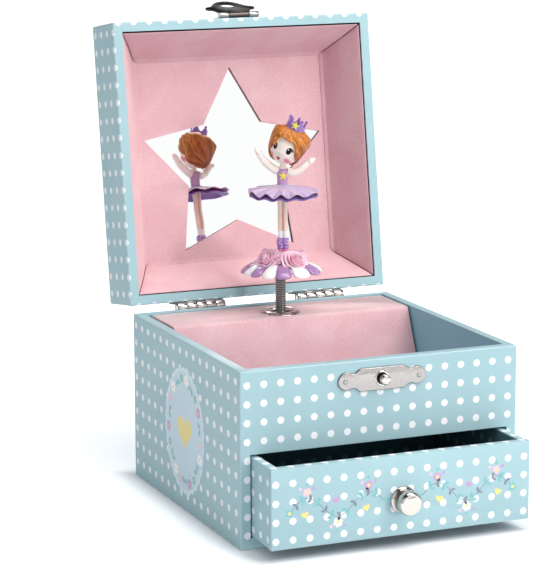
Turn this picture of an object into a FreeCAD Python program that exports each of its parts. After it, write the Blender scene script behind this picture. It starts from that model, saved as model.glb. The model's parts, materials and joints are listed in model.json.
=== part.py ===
import FreeCAD, Part
import math
import os
import Sketcher

# Wind-up music box: board case, hinged lid, drawer, folding dancer and movement.
# Millimetres, +Z up, +Y towards the back, origin at the centre of the underside.
# Rest pose: lid open on its stop, hasp folded back, drawer pulled part way out.

doc = FreeCAD.newDocument("music_box")
sheet = doc.addObject("Spreadsheet::Sheet", "dims")
Vec = FreeCAD.Vector

# Driving dimensions: alias, number or formula, meaning.
DIMENSIONS = [
    ("box_width", 130.0, "outside, along the front"),
    ("box_depth", 131.4, "outside, front to back"),
    ("box_height", 77.0, "underside to rim"),
    ("lid_height", 29.6, "rim to top of the lid"),
    ("board", 4.1, "wall board"),
    ("paper", 0.4, "printed cover"),
    ("paper_lift", 0.3, "cover stays off the table by this"),
    ("cover_round", 0.7, "rounding of the covered edges"),
    ("base_board", 4.9, "thickness of the floor"),
    ("parting_gap", 0.3, "between lid rim and box rim, closed"),
    ("lid_open", 98.5, "lid angle at rest, degrees"),
    (
        "opening_top",
        "=base_board + drawer_gap + drawer_height + drawer_headroom",
        "underside of the front board and the shelf",
    ),
    ("shelf_board", 2.4, "drawer shelf and partition"),
    ("drawer_out", 21.6, "drawer travel from shut to rest"),
    ("drawer_length", 87.5, "front to back"),
    ("drawer_height", 34.7, "all four drawer boards"),
    ("drawer_board", 3.6, "drawer wall"),
    ("drawer_floor", 2.0, "drawer bottom"),
    ("drawer_gap", 0.4, "running clearance of the drawer"),
    ("drawer_headroom", 1.1, "drawer to the top of its opening"),
    ("partition_gap", 0.8, "behind the shut drawer"),
    ("stage_drop", 0.5, "stage top below the rim"),
    ("crease_margin", 2.9, "grommet flange to the fold of the stage cover"),
    ("stage_crease", "=spindle_y - grommet_flange - crease_margin", "y of that fold"),
    ("stage_run", 14.7, "how far forward the slope comes down"),
    ("stage_card", 1.5, "thickness of the stage cover"),
    ("stage_gap", 0.5, "stage cover to walls"),
    ("stage_round", 2.6, "rounding of the fold"),
    ("batten", 6.0, "square strip under the stage"),
    ("liner_card", 0.8, "tray floor liner"),
    ("spindle_y", 44.0, "dancer's axis, behind the centre"),
    ("grommet_flange", 9.6, "radius"),
    ("grommet_bore", 6.0, "radius"),
    ("grommet_wall", 0.8, "sleeve and flange"),
    ("spring_radius", 2.53, "outside of the coil"),
    ("spring_wire", 0.8, "wire thickness"),
    ("spring_seat", 71.4, "z of the lower end of the coil"),
    ("hinge_length", 23.6, "each hinge"),
    ("hinge_spread", 30.5, "hinge centre from the middle"),
    ("knuckle_radius", 2.4, "hinge barrel"),
    ("leaf_card", 1.2, "hinge leaf thickness"),
    ("leaf_height", 11.0, "hinge leaf from pin to edge"),
    ("barrel_gap", 0.3, "barrel to wall and between knuckles"),
    ("pin_radius", 1.2, "hinge pin"),
    ("pin_gap", 0.05, "pin in its knuckles"),
    ("screw_radius", 0.8, "hinge screw shank"),
    ("screw_head", 1.5, "hinge screw head radius"),
    ("screw_length", 4.6, "under the head"),
    ("hole_gap", 0.04, "fastener in its hole"),
    ("screw_pitch", 8.0, "between screws of a leaf"),
    ("catch_drop", 8.5, "catch centre below the rim"),
    ("catch_width", 41.0, "over its round ends"),
    ("catch_height", 10.0, "middle of the plate"),
    ("catch_body", 22.0, "width of the middle of the plate"),
    ("catch_end", 3.8, "radius of the round ends"),
    ("plate", 0.9, "catch and hasp sheet metal"),
    ("stud_head", 2.3, "catch stud radius"),
    ("stud_neck", 1.5, "catch stud neck radius"),
    ("stud_length", 4.2, "from the plate"),
    ("nail_radius", 0.5, "clasp nail shank"),
    ("nail_head", 1.1, "clasp nail head radius"),
    ("hasp_rise", 6.0, "hasp pivot above the rim"),
    ("hasp_folded", 158.0, "hasp angle from closed, at rest"),
    ("hasp_knuckle", 1.5, "hasp barrel radius"),
    ("hasp_pin", 0.7, "hasp pin radius"),
    ("hasp_width", 25.0, "over its ears"),
    ("hasp_bracket", 20.0, "width of the bracket"),
    ("hasp_play", 0.6, "hole round the stud"),
    ("hasp_rim", 3.2, "metal round the stud hole"),
    ("bracket_height", 9.0, "above the hasp pivot"),
    ("mirror_glass", 2.0, "thickness"),
    ("panel_card", 1.5, "star panel thickness"),
    ("panel_half", 49.0, "visible half width of the star panel"),
    ("star_radius", 47.8, "to the points"),
    ("star_waist", 25.7, "to the inner corners"),
    ("star_shift", 4.2, "star centre towards the hinge"),
    ("flap_card", 0.5, "lining flap thickness, measured level"),
    ("flap_gap", 0.7, "lining flap face to the wall, and the mitres"),
    ("knob_radius", 5.4, "drawer knob head"),
    ("knob_collar", 6.0, "drawer knob collar radius"),
    ("knob_neck", 3.6, "drawer knob neck radius"),
    ("knob_reach", 9.4, "drawer knob from the front"),
    ("knob_bolt", 1.5, "drawer knob screw radius"),
    ("knob_drop", 2.0, "drawer knob below the middle of the front"),
    ("rim_rise", 19.5, "dancer's base above the stage"),
    ("rim_radius", 18.2, "dancer's base"),
    ("base_rise", 9.0, "height of the dancer's base"),
    ("leg_radius", 1.9, "dancer's legs"),
    ("leg_top", 37.0, "hips above the base rim"),
    ("skirt_radius", 16.2, "dancer's skirt"),
    ("skirt_drop", 4.6, "waist to hem"),
    ("waist_radius", 3.6, "dancer's torso"),
    ("neck_top", 50.8, "above the base rim"),
    ("head_radius", 7.8, "dancer's head"),
    ("hair_radius", 9.4, "dancer's hair"),
    ("crown_top", 72.2, "above the base rim"),
    ("spin_gap", 0.08, "running fit of shafts"),
    ("bedplate", 2.0, "movement plate thickness"),
    ("arbor_z", 50.0, "height of the winding arbor"),
    ("arbor_radius", 1.8, "winding arbor"),
    ("tooth_module", 0.8, "drum, crown and pinion"),
    ("drum_teeth", 40, "teeth of the drum flange"),
    ("crown_pegs", 30, "pegs of the spindle's crown wheel"),
    ("drive_pegs", 35, "pegs on the drum flange"),
    ("pinion_teeth", 10, "cylinder pinion"),
    ("wheel_module", 0.5, "cylinder wheel and fly pinion"),
    ("wheel_teeth", 24, "cylinder wheel"),
    ("fly_teeth", 8, "fly pinion"),
    ("tooth_addendum", 0.6, "tooth above the pitch line, drum train"),
    ("peg_radius", 0.45, "crown and drive pegs"),
    ("mesh_gap", 0.4, "tooth tips to the opposite face"),
    ("drum_radius", 12.2, "spring drum"),
    ("drum_wall", 0.9, "spring drum sheet"),
    ("drum_length", 11.0, "spring drum with its flange"),
    ("flange", 2.0, "gear flange of the drum"),
    ("cylinder_radius", 6.0, "pinned cylinder"),
    ("cylinder_length", 18.0, "pinned cylinder"),
    ("music_pin", 0.7, "height of the music pins"),
    ("comb_gap", 0.15, "comb tips to the music pins"),
    ("comb_teeth", 18, "tone comb"),
    ("comb_reach", 7.0, "length of the comb teeth"),
    ("lug", 1.2, "bearing lug thickness"),
    ("shaft_radius", 1.0, "cylinder shaft"),
    ("fly_shaft", 0.7, "fly governor shaft"),
    ("fly_radius", 5.6, "fly governor blades"),
    ("spindle_radius", 2.2, "spindle in its bridge"),
    ("key_wing", 6.4, "winding key lobe radius"),
    ("key_blade", 1.6, "winding key sheet"),
    ("key_hub", 3.2, "winding key hub radius"),
    ("key_gap", 1.0, "winding key to the back of the box"),
]


class Size:
    # A length that carries its number together with its spreadsheet expression.
    def __init__(self, value, text):
        self.value = float(value)
        self.text = text

    def __add__(self, other):
        other = as_size(other)
        return Size(self.value + other.value, "(%s + %s)" % (self.text, other.text))

    def __sub__(self, other):
        other = as_size(other)
        return Size(self.value - other.value, "(%s - %s)" % (self.text, other.text))

    def __mul__(self, other):
        other = as_size(other)
        return Size(self.value * other.value, "(%s * %s)" % (self.text, other.text))

    def __truediv__(self, other):
        other = as_size(other)
        return Size(self.value / other.value, "(%s / %s)" % (self.text, other.text))

    def __radd__(self, other):
        return as_size(other) + self

    def __rsub__(self, other):
        return as_size(other) - self

    def __rmul__(self, other):
        return as_size(other) * self

    def __rtruediv__(self, other):
        return as_size(other) / self

    def __neg__(self):
        return Size(-self.value, "(0 - %s)" % self.text)


def as_size(item):
    return item if isinstance(item, Size) else Size(item, "%.6f" % item)


def cosine(angle):
    angle = as_size(angle)
    return Size(math.cos(math.radians(angle.value)), "cos(%s)" % angle.text)


def sine(angle):
    angle = as_size(angle)
    return Size(math.sin(math.radians(angle.value)), "sin(%s)" % angle.text)


def root(item):
    return Size(math.sqrt(item.value), "sqrt(%s)" % item.text)


dim = {}
for row, (alias, number, meaning) in enumerate(DIMENSIONS, start=1):
    sheet.set("A%d" % row, alias)
    sheet.set("B%d" % row, number if isinstance(number, str) else "%g" % number)
    sheet.set("C%d" % row, meaning)
    sheet.setAlias("B%d" % row, alias)
doc.recompute()
for alias, number, meaning in DIMENSIONS:
    dim[alias] = Size(sheet.get(alias), "dims." + alias)

parts = []


def bind(obj, prop, size):
    obj.setExpression(prop, as_size(size).text)


def place(obj, x=0.0, y=0.0, z=0.0):
    for axis, size in zip("xyz", (x, y, z)):
        bind(obj, "Placement.Base." + axis, size)
    return obj


def node(obj, label):
    obj.Label = label
    parts.append(obj)
    return obj


def box(name, x, y, z):
    # x, y and z are (low, high) pairs.
    obj = doc.addObject("Part::Box", name)
    for prop, pair in zip(("Length", "Width", "Height"), (x, y, z)):
        bind(obj, prop, as_size(pair[1]) - pair[0])
    return place(obj, x[0], y[0], z[0])


TURNS = {
    "x": FreeCAD.Rotation(Vec(0, 1, 0), 90),
    "y": FreeCAD.Rotation(Vec(1, 0, 0), -90),
    "z": FreeCAD.Rotation(),
}


def rod(name, along, radius, x, y, z):
    # The coordinate named by along is a (low, high) pair, the other two are centres.
    obj = doc.addObject("Part::Cylinder", name)
    where = {"x": x, "y": y, "z": z}
    low, high = where[along]
    where[along] = low
    bind(obj, "Radius", radius)
    bind(obj, "Height", as_size(high) - low)
    obj.Placement = FreeCAD.Placement(Vec(0, 0, 0), TURNS[along])
    return place(obj, where["x"], where["y"], where["z"])


def ball(name, radius, x, y, z, squash=1.0, along="z"):
    # An ellipsoid of revolution, squashed along one axis.
    obj = doc.addObject("Part::Ellipsoid", name)
    bind(obj, "Radius1", as_size(radius) * squash)
    bind(obj, "Radius2", radius)
    bind(obj, "Radius3", radius)
    obj.Placement = FreeCAD.Placement(Vec(0, 0, 0), TURNS[along])
    return place(obj, x, y, z)


def fuse(name, *shapes):
    obj = doc.addObject("Part::MultiFuse", name)
    obj.Shapes = list(shapes)
    obj.Refine = True
    return obj


def cut(name, base, *tools):
    obj = doc.addObject("Part::Cut", name)
    obj.Base = base
    obj.Tool = tools[0] if len(tools) == 1 else fuse(name + "_tools", *tools)
    return obj


def group(name, *shapes):
    obj = doc.addObject("Part::Compound", name)
    obj.Links = list(shapes)
    return obj


def fillet(name, base, radius, wanted):
    # Rounds the edges of base for which wanted(edge) holds.
    doc.recompute()
    obj = doc.addObject("Part::Fillet", name)
    obj.Base = base
    edges = enumerate(base.Shape.Edges, start=1)
    obj.Edges = [(i, radius.value, radius.value) for i, edge in edges if wanted(edge)]
    return obj


def plane_of(body, role):
    return [f for f in body.Origin.OriginFeatures if f.Role == role][0]


def sketch_on(body, name, role):
    sketch = body.newObject("Sketcher::SketchObject", name)
    sketch.AttachmentSupport = [(plane_of(body, role), "")]
    sketch.MapMode = "FlatFace"
    return sketch


def polygon(sketch, points):
    # A closed outline whose corners are held at bound coordinates.
    first = sketch.GeometryCount
    count = len(points)
    spots = [Vec(as_size(u).value, as_size(v).value, 0) for u, v in points]
    for i in range(count):
        sketch.addGeometry(Part.LineSegment(spots[i], spots[(i + 1) % count]), False)
    for i in range(count):
        ahead = first + (i + 1) % count
        sketch.addConstraint(Sketcher.Constraint("Coincident", first + i, 2, ahead, 1))
    for i, (u, v) in enumerate(points):
        for kind, size in (("DistanceX", as_size(u)), ("DistanceY", as_size(v))):
            index = sketch.addConstraint(
                Sketcher.Constraint(kind, first + i, 1, size.value)
            )
            bind(sketch, "Constraints[%d]" % index, size)


def circle(sketch, radius, u=0.0, v=0.0):
    spot = Vec(as_size(u).value, as_size(v).value, 0)
    shape = Part.Circle(spot, Vec(0, 0, 1), as_size(radius).value)
    item = sketch.addGeometry(shape, False)
    for kind, size in (("DistanceX", as_size(u)), ("DistanceY", as_size(v))):
        index = sketch.addConstraint(Sketcher.Constraint(kind, item, 3, size.value))
        bind(sketch, "Constraints[%d]" % index, size)
    index = sketch.addConstraint(
        Sketcher.Constraint("Radius", item, as_size(radius).value)
    )
    bind(sketch, "Constraints[%d]" % index, radius)


def new_body(name):
    return doc.addObject("PartDesign::Body", name)


def pad(body, sketch, length):
    feature = body.newObject("PartDesign::Pad", sketch.Name + "_pad")
    feature.Profile = sketch
    bind(feature, "Length", length)
    return feature


def turned(name, points):
    # A body of revolution about its own Z axis, from (radius, height) corners.
    body = new_body(name)
    sketch = sketch_on(body, name + "_profile", "XZ_Plane")
    polygon(sketch, points)
    feature = body.newObject("PartDesign::Revolution", name + "_turn")
    feature.Profile = sketch
    feature.ReferenceAxis = (sketch, ["V_Axis"])
    feature.Angle = 360.0
    return body


def ring_of(body, features, count):
    # Repeats features round the body's own Z axis.
    pattern = body.newObject("PartDesign::PolarPattern", body.Name + "_ring")
    pattern.Originals = features
    axis = [f for f in body.Origin.OriginFeatures if f.Role == "Z_Axis"][0]
    pattern.Axis = (axis, [""])
    pattern.Angle = 360.0
    bind(pattern, "Occurrences", count)
    body.Tip = pattern
    return pattern


# Faces and levels that many pieces share.
half_width = dim["box_width"] / 2
half_depth = dim["box_depth"] / 2
board_x = half_width - dim["paper"]
board_y = half_depth - dim["paper"]
inner_x = board_x - dim["board"]
inner_y = board_y - dim["board"]
rim = dim["box_height"]
lid_rim = rim + dim["parting_gap"]
lid_top = lid_rim + dim["lid_height"]
lid_ceiling = lid_top - dim["paper"] - dim["board"]
base_top = dim["base_board"]
shelf_top = dim["opening_top"] + dim["shelf_board"]
stage_top = rim - dim["stage_drop"]
stage_under = stage_top - dim["stage_card"]
pin_y = half_depth + dim["barrel_gap"] + dim["knuckle_radius"]
pin_z = rim + dim["parting_gap"] / 2
catch_z = rim - dim["catch_drop"]
arbor_z = dim["arbor_z"]
bed_front = inner_y - dim["bedplate"]
axis_y = dim["spindle_y"]

# Layout of the movement: the drum's flange meets the crown wheel over the dancer's axis.
drum_pitch = dim["tooth_module"] * dim["drum_teeth"] / 2
crown_pitch = dim["tooth_module"] * dim["crown_pegs"] / 2
drive_pitch = dim["tooth_module"] * dim["drive_pegs"] / 2
pinion_pitch = dim["tooth_module"] * dim["pinion_teeth"] / 2
wheel_pitch = dim["wheel_module"] * dim["wheel_teeth"] / 2
fly_pitch = dim["wheel_module"] * dim["fly_teeth"] / 2
addendum = dim["tooth_addendum"]
fine_addendum = dim["wheel_module"] * 0.8
peg_length = addendum + dim["mesh_gap"] + 0.55
gear_y = axis_y + crown_pitch
flange_front = gear_y - dim["flange"] / 2
flange_back = gear_y + dim["flange"] / 2
drum_front = flange_back - dim["drum_length"]
cup_inside = dim["drum_radius"] - dim["drum_wall"]
shaft_y = flange_front - pinion_pitch - addendum - dim["mesh_gap"]
fly_z = arbor_z - wheel_pitch - fly_pitch - 0.05
pinion_half = as_size(1.1)
lug_a = drum_pitch + addendum + 0.5
drum_end = lug_a + dim["lug"] + 0.5
barrel_end = drum_end + dim["cylinder_length"]
wheel_x = barrel_end + 0.8
wheel_width = as_size(1.4)
lug_b = wheel_x + wheel_width + 0.8
blade_x = lug_b + dim["lug"] + 1.0
blade_end = blade_x + 8.0
lug_c = blade_end + 1.0
shaft_end = lug_b + dim["lug"] + 0.6
bed_left = -drum_pitch - 4.0
bed_right = lug_c + dim["lug"] + 1.2
bed_low = arbor_z - drum_pitch - 4.0
bed_high = stage_under - 1.0


def swing(y, z, about_y, about_z, angle):
    # Turns a point towards the back about an axis along X.
    dy = as_size(y) - about_y
    dz = as_size(z) - about_z
    new_y = about_y + dy * cosine(angle) + dz * sine(angle)
    new_z = about_z - dy * sine(angle) + dz * cosine(angle)
    return new_y, new_z


def on_lid(obj, x=0.0, y=0.0, z=0.0):
    # Swings a piece drawn with the lid shut, whose own origin is at x, y, z.
    obj.Placement = FreeCAD.Placement(
        Vec(0, 0, 0), FreeCAD.Rotation(Vec(-1, 0, 0), dim["lid_open"].value)
    )
    y, z = swing(y, z, pin_y, pin_z, dim["lid_open"])
    bind(obj, "Placement.Rotation.Angle", dim["lid_open"])
    return place(obj, x, y, z)


def screw(name, x, face, z, inward, shank, head, length, crown):
    # A fastener along Y: its head stands on the face, its shank goes inward.
    if inward > 0:
        low, high = face, face + length
        head_span = (face - crown, face)
    else:
        low, high = face - length, face
        head_span = (face, face + crown)
    return fuse(
        name,
        rod(name + "_shank", "y", shank, x, (low, high), z),
        rod(name + "_head", "y", head, x, head_span, z),
    )


# Case boards.
node(
    box("base", (-board_x, board_x), (-board_y, board_y), (0.0, base_top)),
    "base_board",
)
wall_z = (base_top, rim - dim["paper"])
node(box("wall_left", (-board_x, -inner_x), (-board_y, board_y), wall_z), "left_wall")
node(box("wall_right", (inner_x, board_x), (-board_y, board_y), wall_z), "right_wall")

# Hinge and movement fasteners, and the holes they need.
hinge_centres = [-dim["hinge_spread"], dim["hinge_spread"]]
screw_xs = [c + dim["screw_pitch"] * k for c in hinge_centres for k in (-1, 0, 1)]
screw_drop = dim["leaf_height"] * 0.66
leaf_face = half_depth + dim["leaf_card"]
hole_depth = dim["screw_length"] + 0.2
hinge_hole = dim["screw_radius"] + dim["hole_gap"]


def hinge_holes(name, z):
    return [
        rod("%s_%d" % (name, i), "y", hinge_hole, x, (leaf_face - hole_depth, leaf_face + 1), z)
        for i, x in enumerate(screw_xs)
    ]


box_screw_z = pin_z - screw_drop
lid_screw_z = pin_z + screw_drop
bed_screws = [
    (x, z) for x in (bed_left + 2.6, bed_right - 2.6) for z in (bed_low + 2.6, bed_high - 2.6)
]
bed_screw_radius = 1.0
bed_hole = bed_screw_radius + dim["hole_gap"]
bed_screw_length = dim["bedplate"] + 2.6
key_hole = dim["arbor_radius"] * 2

back_holes = hinge_holes("back_hinge_hole", box_screw_z)
back_holes.append(
    rod("back_key_hole", "y", key_hole, 0.0, (inner_y - 1, half_depth + 1), arbor_z)
)
for i, (x, z) in enumerate(bed_screws):
    back_holes.append(
        rod("back_bed_hole_%d" % i, "y", bed_hole, x, (inner_y - 1, bed_front + bed_screw_length + 0.2), z)
    )
node(
    cut("wall_back", box("wall_back_blank", (-inner_x, inner_x), (inner_y, board_y), wall_z), *back_holes),
    "back_wall",
)

# Front board with the catch fasteners' holes.
catch_face = -half_depth - dim["plate"]
nail_x = dim["catch_width"] / 2 - dim["catch_end"]
nail_hole = dim["nail_radius"] + dim["hole_gap"]
stud_hole = dim["stud_neck"] + dim["hole_gap"]
nail_length = dim["plate"] + dim["paper"] + dim["board"] * 0.7
catch_span = (catch_face - 1, catch_face + nail_length + 0.2)


def catch_holes(name):
    return [
        rod(name + "_left", "y", nail_hole, -nail_x, catch_span, catch_z),
        rod(name + "_right", "y", nail_hole, nail_x, catch_span, catch_z),
        rod(name + "_stud", "y", stud_hole, 0.0, catch_span, catch_z),
    ]


front_z = (dim["opening_top"], rim - dim["paper"])
node(
    cut(
        "front",
        box("front_blank", (-inner_x, inner_x), (-board_y, -inner_y), front_z),
        *catch_holes("front_hole"),
    ),
    "front_board",
)

# Drawer bay: shelf over it, partition behind it.
partition_y = -half_depth + dim["drawer_length"] + dim["partition_gap"]
partition_back = partition_y + dim["shelf_board"]
node(
    box("shelf", (-inner_x, inner_x), (-inner_y, partition_back), (dim["opening_top"], shelf_top)),
    "drawer_shelf",
)
node(
    box("partition", (-inner_x, inner_x), (partition_y, partition_back), (base_top, dim["opening_top"])),
    "bay_partition",
)

# Stage cover: one folded card, level behind the fold and sloping down to the shelf.
crease = dim["stage_crease"]
foot = crease - dim["stage_run"]
lean = dim["stage_run"] / (stage_top - shelf_top)
card_run = dim["stage_card"] * root(1.0 + lean * lean)
stage_half = inner_x - dim["stage_gap"]
stage_back = inner_y - dim["stage_gap"]
stage = new_body("stage")
stage_sketch = sketch_on(stage, "stage_profile", "YZ_Plane")
polygon(
    stage_sketch,
    [
        (stage_back, stage_top),
        (crease, stage_top),
        (foot, shelf_top),
        (foot + card_run, shelf_top),
        (crease - lean * dim["stage_card"] + card_run, stage_under),
        (stage_back, stage_under),
    ],
)
stage_pad = pad(stage, stage_sketch, stage_half * 2)
place(stage, -stage_half)
doc.recompute()
fold_edge = [
    "Edge%d" % i
    for i, edge in enumerate(stage_pad.Shape.Edges, start=1)
    if abs(edge.CenterOfMass.y - crease.value) < 0.01
    and abs(edge.CenterOfMass.z - stage_top.value) < 0.01
    and edge.BoundBox.XLength > 1.0
]
fold = stage.newObject("PartDesign::Fillet", "stage_fold")
fold.Base = (stage_pad, fold_edge)
bind(fold, "Radius", dim["stage_round"])
sleeve = dim["grommet_bore"] + dim["grommet_wall"]
sleeve_hole = rod(
    "stage_hole", "z", sleeve + dim["hole_gap"], 0.0, dim["spindle_y"], (stage_under - 1, stage_top + 1)
)
node(cut("stage_pierced", stage, sleeve_hole), "stage_cover")

batten_z = (stage_under - dim["batten"], stage_under)
batten_y = (inner_y - dim["batten"] * 3, inner_y)
node(
    group(
        "battens",
        box("batten_left", (-inner_x, -inner_x + dim["batten"]), batten_y, batten_z),
        box("batten_right", (inner_x - dim["batten"], inner_x), batten_y, batten_z),
    ),
    "stage_battens",
)
liner_y = (-inner_y + 0.2, foot - 0.2)
node(
    box("liner", (-inner_x + 0.2, inner_x - 0.2), liner_y, (shelf_top, shelf_top + dim["liner_card"])),
    "floor_liner",
)
grommet = turned(
    "grommet",
    [
        (dim["grommet_bore"], -dim["stage_card"] - dim["grommet_wall"]),
        (sleeve, -dim["stage_card"] - dim["grommet_wall"]),
        (sleeve, 0.0),
        (dim["grommet_flange"], 0.0),
        (dim["grommet_flange"] - 0.3, dim["grommet_wall"] * 0.7),
        (sleeve + 0.8, dim["grommet_wall"] * 1.5),
        (sleeve, dim["grommet_wall"] * 1.5),
        (dim["grommet_bore"], dim["grommet_wall"] * 0.7),
    ],
)
node(place(grommet, 0.0, dim["spindle_y"], stage_top), "stage_grommet")


def upright(edge):
    return edge.BoundBox.ZLength > 1.0


# Printed cover of the box: four skins with a turned-over rim, open below.
cover_blank = box(
    "cover_blank", (-half_width, half_width), (-half_depth, half_depth), (dim["paper_lift"], rim)
)
cover_round = fillet(
    "cover_rounded",
    cover_blank,
    dim["cover_round"],
    lambda edge: upright(edge) or edge.BoundBox.ZMin > 1.0,
)
cover_cuts = [
    box("cover_core", (-board_x, board_x), (-board_y, board_y), (-1.0, rim - dim["paper"])),
    box("cover_mouth", (-inner_x, inner_x), (-inner_y, inner_y), (rim - dim["paper"] - 1, rim + 1)),
    box(
        "cover_gate",
        (-inner_x, inner_x),
        (-half_depth - 1, -inner_y),
        (base_top, dim["opening_top"]),
    ),
    rod("cover_key", "y", key_hole, 0.0, (inner_y, half_depth + 1), arbor_z),
]
cover_cuts += hinge_holes("cover_hinge_hole", box_screw_z)
cover_cuts += catch_holes("cover_catch_hole")
node(cut("cover", cover_round, *cover_cuts), "box_wrap")

# Hinges: knuckles alternate along the barrel, box leaf first.
KNUCKLES = 5


def hinge_leaf(name, centre, mine, downward):
    step = dim["hinge_length"] / KNUCKLES
    start = centre - dim["hinge_length"] / 2
    solids = []
    notches = []
    for k in range(KNUCKLES):
        low = start + step * k
        high = low + step
        if k in mine:
            low = low + dim["barrel_gap"] / 2 if k else low
            high = high - dim["barrel_gap"] / 2 if k < KNUCKLES - 1 else high
            tag = "%s_knuckle_%d" % (name, k)
            solids.append(rod(tag, "x", dim["knuckle_radius"], (low, high), pin_y, pin_z))
        else:
            low = low - dim["barrel_gap"] / 2
            high = high + dim["barrel_gap"] / 2
            tag = "%s_notch_%d" % (name, k)
            reach = dim["knuckle_radius"] + dim["barrel_gap"]
            notches.append(rod(tag, "x", reach, (low, high), pin_y, pin_z))
    span = (start, start + dim["hinge_length"])
    if downward:
        leaf_z = (pin_z - dim["leaf_height"], pin_z)
        hole_z = box_screw_z
    else:
        leaf_z = (pin_z, pin_z + dim["leaf_height"])
        hole_z = lid_screw_z
    solids.append(box(name + "_leaf", span, (half_depth, leaf_face), leaf_z))
    bore = dim["pin_radius"] + dim["pin_gap"]
    notches.append(rod(name + "_bore", "x", bore, (span[0] - 1, span[1] + 1), pin_y, pin_z))
    for k in (-1, 0, 1):
        x = centre + dim["screw_pitch"] * k
        tag = "%s_hole_%d" % (name, k + 1)
        notches.append(rod(tag, "y", hinge_hole, x, (half_depth - 1, leaf_face + 1), hole_z))
    return cut(name, fuse(name + "_blank", *solids), *notches)


box_knuckles = (0, 2, 4)
lid_knuckles = (1, 3)
node(
    group(
        "box_leaves",
        hinge_leaf("box_leaf_left", hinge_centres[0], box_knuckles, True),
        hinge_leaf("box_leaf_right", hinge_centres[1], box_knuckles, True),
    ),
    "box_hinge_leaves",
)
lid_leaves = group(
    "lid_leaves",
    hinge_leaf("lid_leaf_left", hinge_centres[0], lid_knuckles, False),
    hinge_leaf("lid_leaf_right", hinge_centres[1], lid_knuckles, False),
)
node(on_lid(lid_leaves), "lid_hinge_leaves")
pins = []
for i, centre in enumerate(hinge_centres):
    span = (centre - dim["hinge_length"] / 2, centre + dim["hinge_length"] / 2)
    pins.append(rod("hinge_pin_%d" % i, "x", dim["pin_radius"], span, pin_y, pin_z))
node(group("pins", *pins), "hinge_pins")


def hinge_screws(name, z):
    return group(
        name,
        *[
            screw(
                "%s_%d" % (name, i),
                x,
                leaf_face,
                z,
                -1,
                dim["screw_radius"],
                dim["screw_head"],
                dim["screw_length"],
                0.5,
            )
            for i, x in enumerate(screw_xs)
        ],
    )


node(hinge_screws("box_screws", box_screw_z), "box_hinge_screws")
node(on_lid(hinge_screws("lid_screws", lid_screw_z)), "lid_hinge_screws")

# Catch on the front: ornamental plate, stud and two nails.
plate_y = (catch_face, -half_depth)
body_half = dim["catch_body"] / 2
catch_half = dim["catch_height"] / 2
neck_half = dim["catch_end"] * 0.86
catch_blank = fuse(
    "catch_blank",
    box("catch_middle", (-body_half, body_half), plate_y, (catch_z - catch_half, catch_z + catch_half)),
    box("catch_neck", (-nail_x, nail_x), plate_y, (catch_z - neck_half, catch_z + neck_half)),
    rod("catch_end_left", "y", dim["catch_end"], -nail_x, plate_y, catch_z),
    rod("catch_end_right", "y", dim["catch_end"], nail_x, plate_y, catch_z),
)
shoulder = (catch_half - neck_half) * 0.9


def catch_shoulder(edge):
    outline = edge.BoundBox
    middle = outline.Center
    return (
        outline.YLength > 0.5
        and abs(abs(middle.x) - body_half.value) < 0.05
        and abs(abs(middle.z - catch_z.value) - catch_half.value) < 0.05
    )


catch_rounded = fillet("catch_rounded", catch_blank, shoulder, catch_shoulder)
node(cut("catch", catch_rounded, *catch_holes("catch_hole")), "catch_plate")
stud_tip = catch_face - dim["stud_length"]
node(
    fuse(
        "stud",
        rod("stud_shank", "y", dim["stud_neck"], 0.0, (stud_tip + 1, catch_face + nail_length), catch_z),
        ball(
            "stud_ball", dim["stud_head"], 0.0, stud_tip + dim["stud_head"] * 0.6, catch_z, 0.6, "y"
        ),
    ),
    "catch_stud",
)
node(
    group(
        "catch_fixings",
        *[
            screw(
                "catch_nail_%d" % i,
                x,
                catch_face,
                catch_z,
                1,
                dim["nail_radius"],
                dim["nail_head"],
                nail_length,
                0.4,
            )
            for i, x in enumerate((-nail_x, nail_x))
        ],
    ),
    "catch_nails",
)

# Lid boards, drawn shut and swung open.
hasp_y = -half_depth - dim["hasp_knuckle"] - 0.1
hasp_z = rim + dim["hasp_rise"]
bracket_half = dim["hasp_bracket"] / 2
bracket_nail_z = hasp_z + dim["bracket_height"] * 0.62
bracket_nails = [(x, bracket_nail_z) for x in (-bracket_half * 0.66, bracket_half * 0.66)]


def bracket_holes(name):
    return [
        rod("%s_%d" % (name, i), "y", nail_hole, x, catch_span, z)
        for i, (x, z) in enumerate(bracket_nails)
    ]


lid_wall_z = (lid_rim + dim["paper"], lid_ceiling)
top_board = box("lid_top", (-board_x, board_x), (-board_y, board_y), (lid_ceiling, lid_top - dim["paper"]))
node(on_lid(top_board, -board_x, -board_y, lid_ceiling), "lid_top_board")
lid_front = cut(
    "lid_front",
    box("lid_front_blank", (-board_x, board_x), (-board_y, -inner_y), lid_wall_z),
    *bracket_holes("lid_front_hole"),
)
node(on_lid(lid_front), "lid_front_wall")
lid_back = cut(
    "lid_back",
    box("lid_back_blank", (-board_x, board_x), (inner_y, board_y), lid_wall_z),
    *hinge_holes("lid_back_hole", lid_screw_z),
)
node(on_lid(lid_back), "lid_back_wall")
lid_ends = group(
    "lid_ends",
    box("lid_end_left", (-board_x, -inner_x), (-inner_y, inner_y), lid_wall_z),
    box("lid_end_right", (inner_x, board_x), (-inner_y, inner_y), lid_wall_z),
)
node(on_lid(lid_ends), "lid_end_walls")

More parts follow.
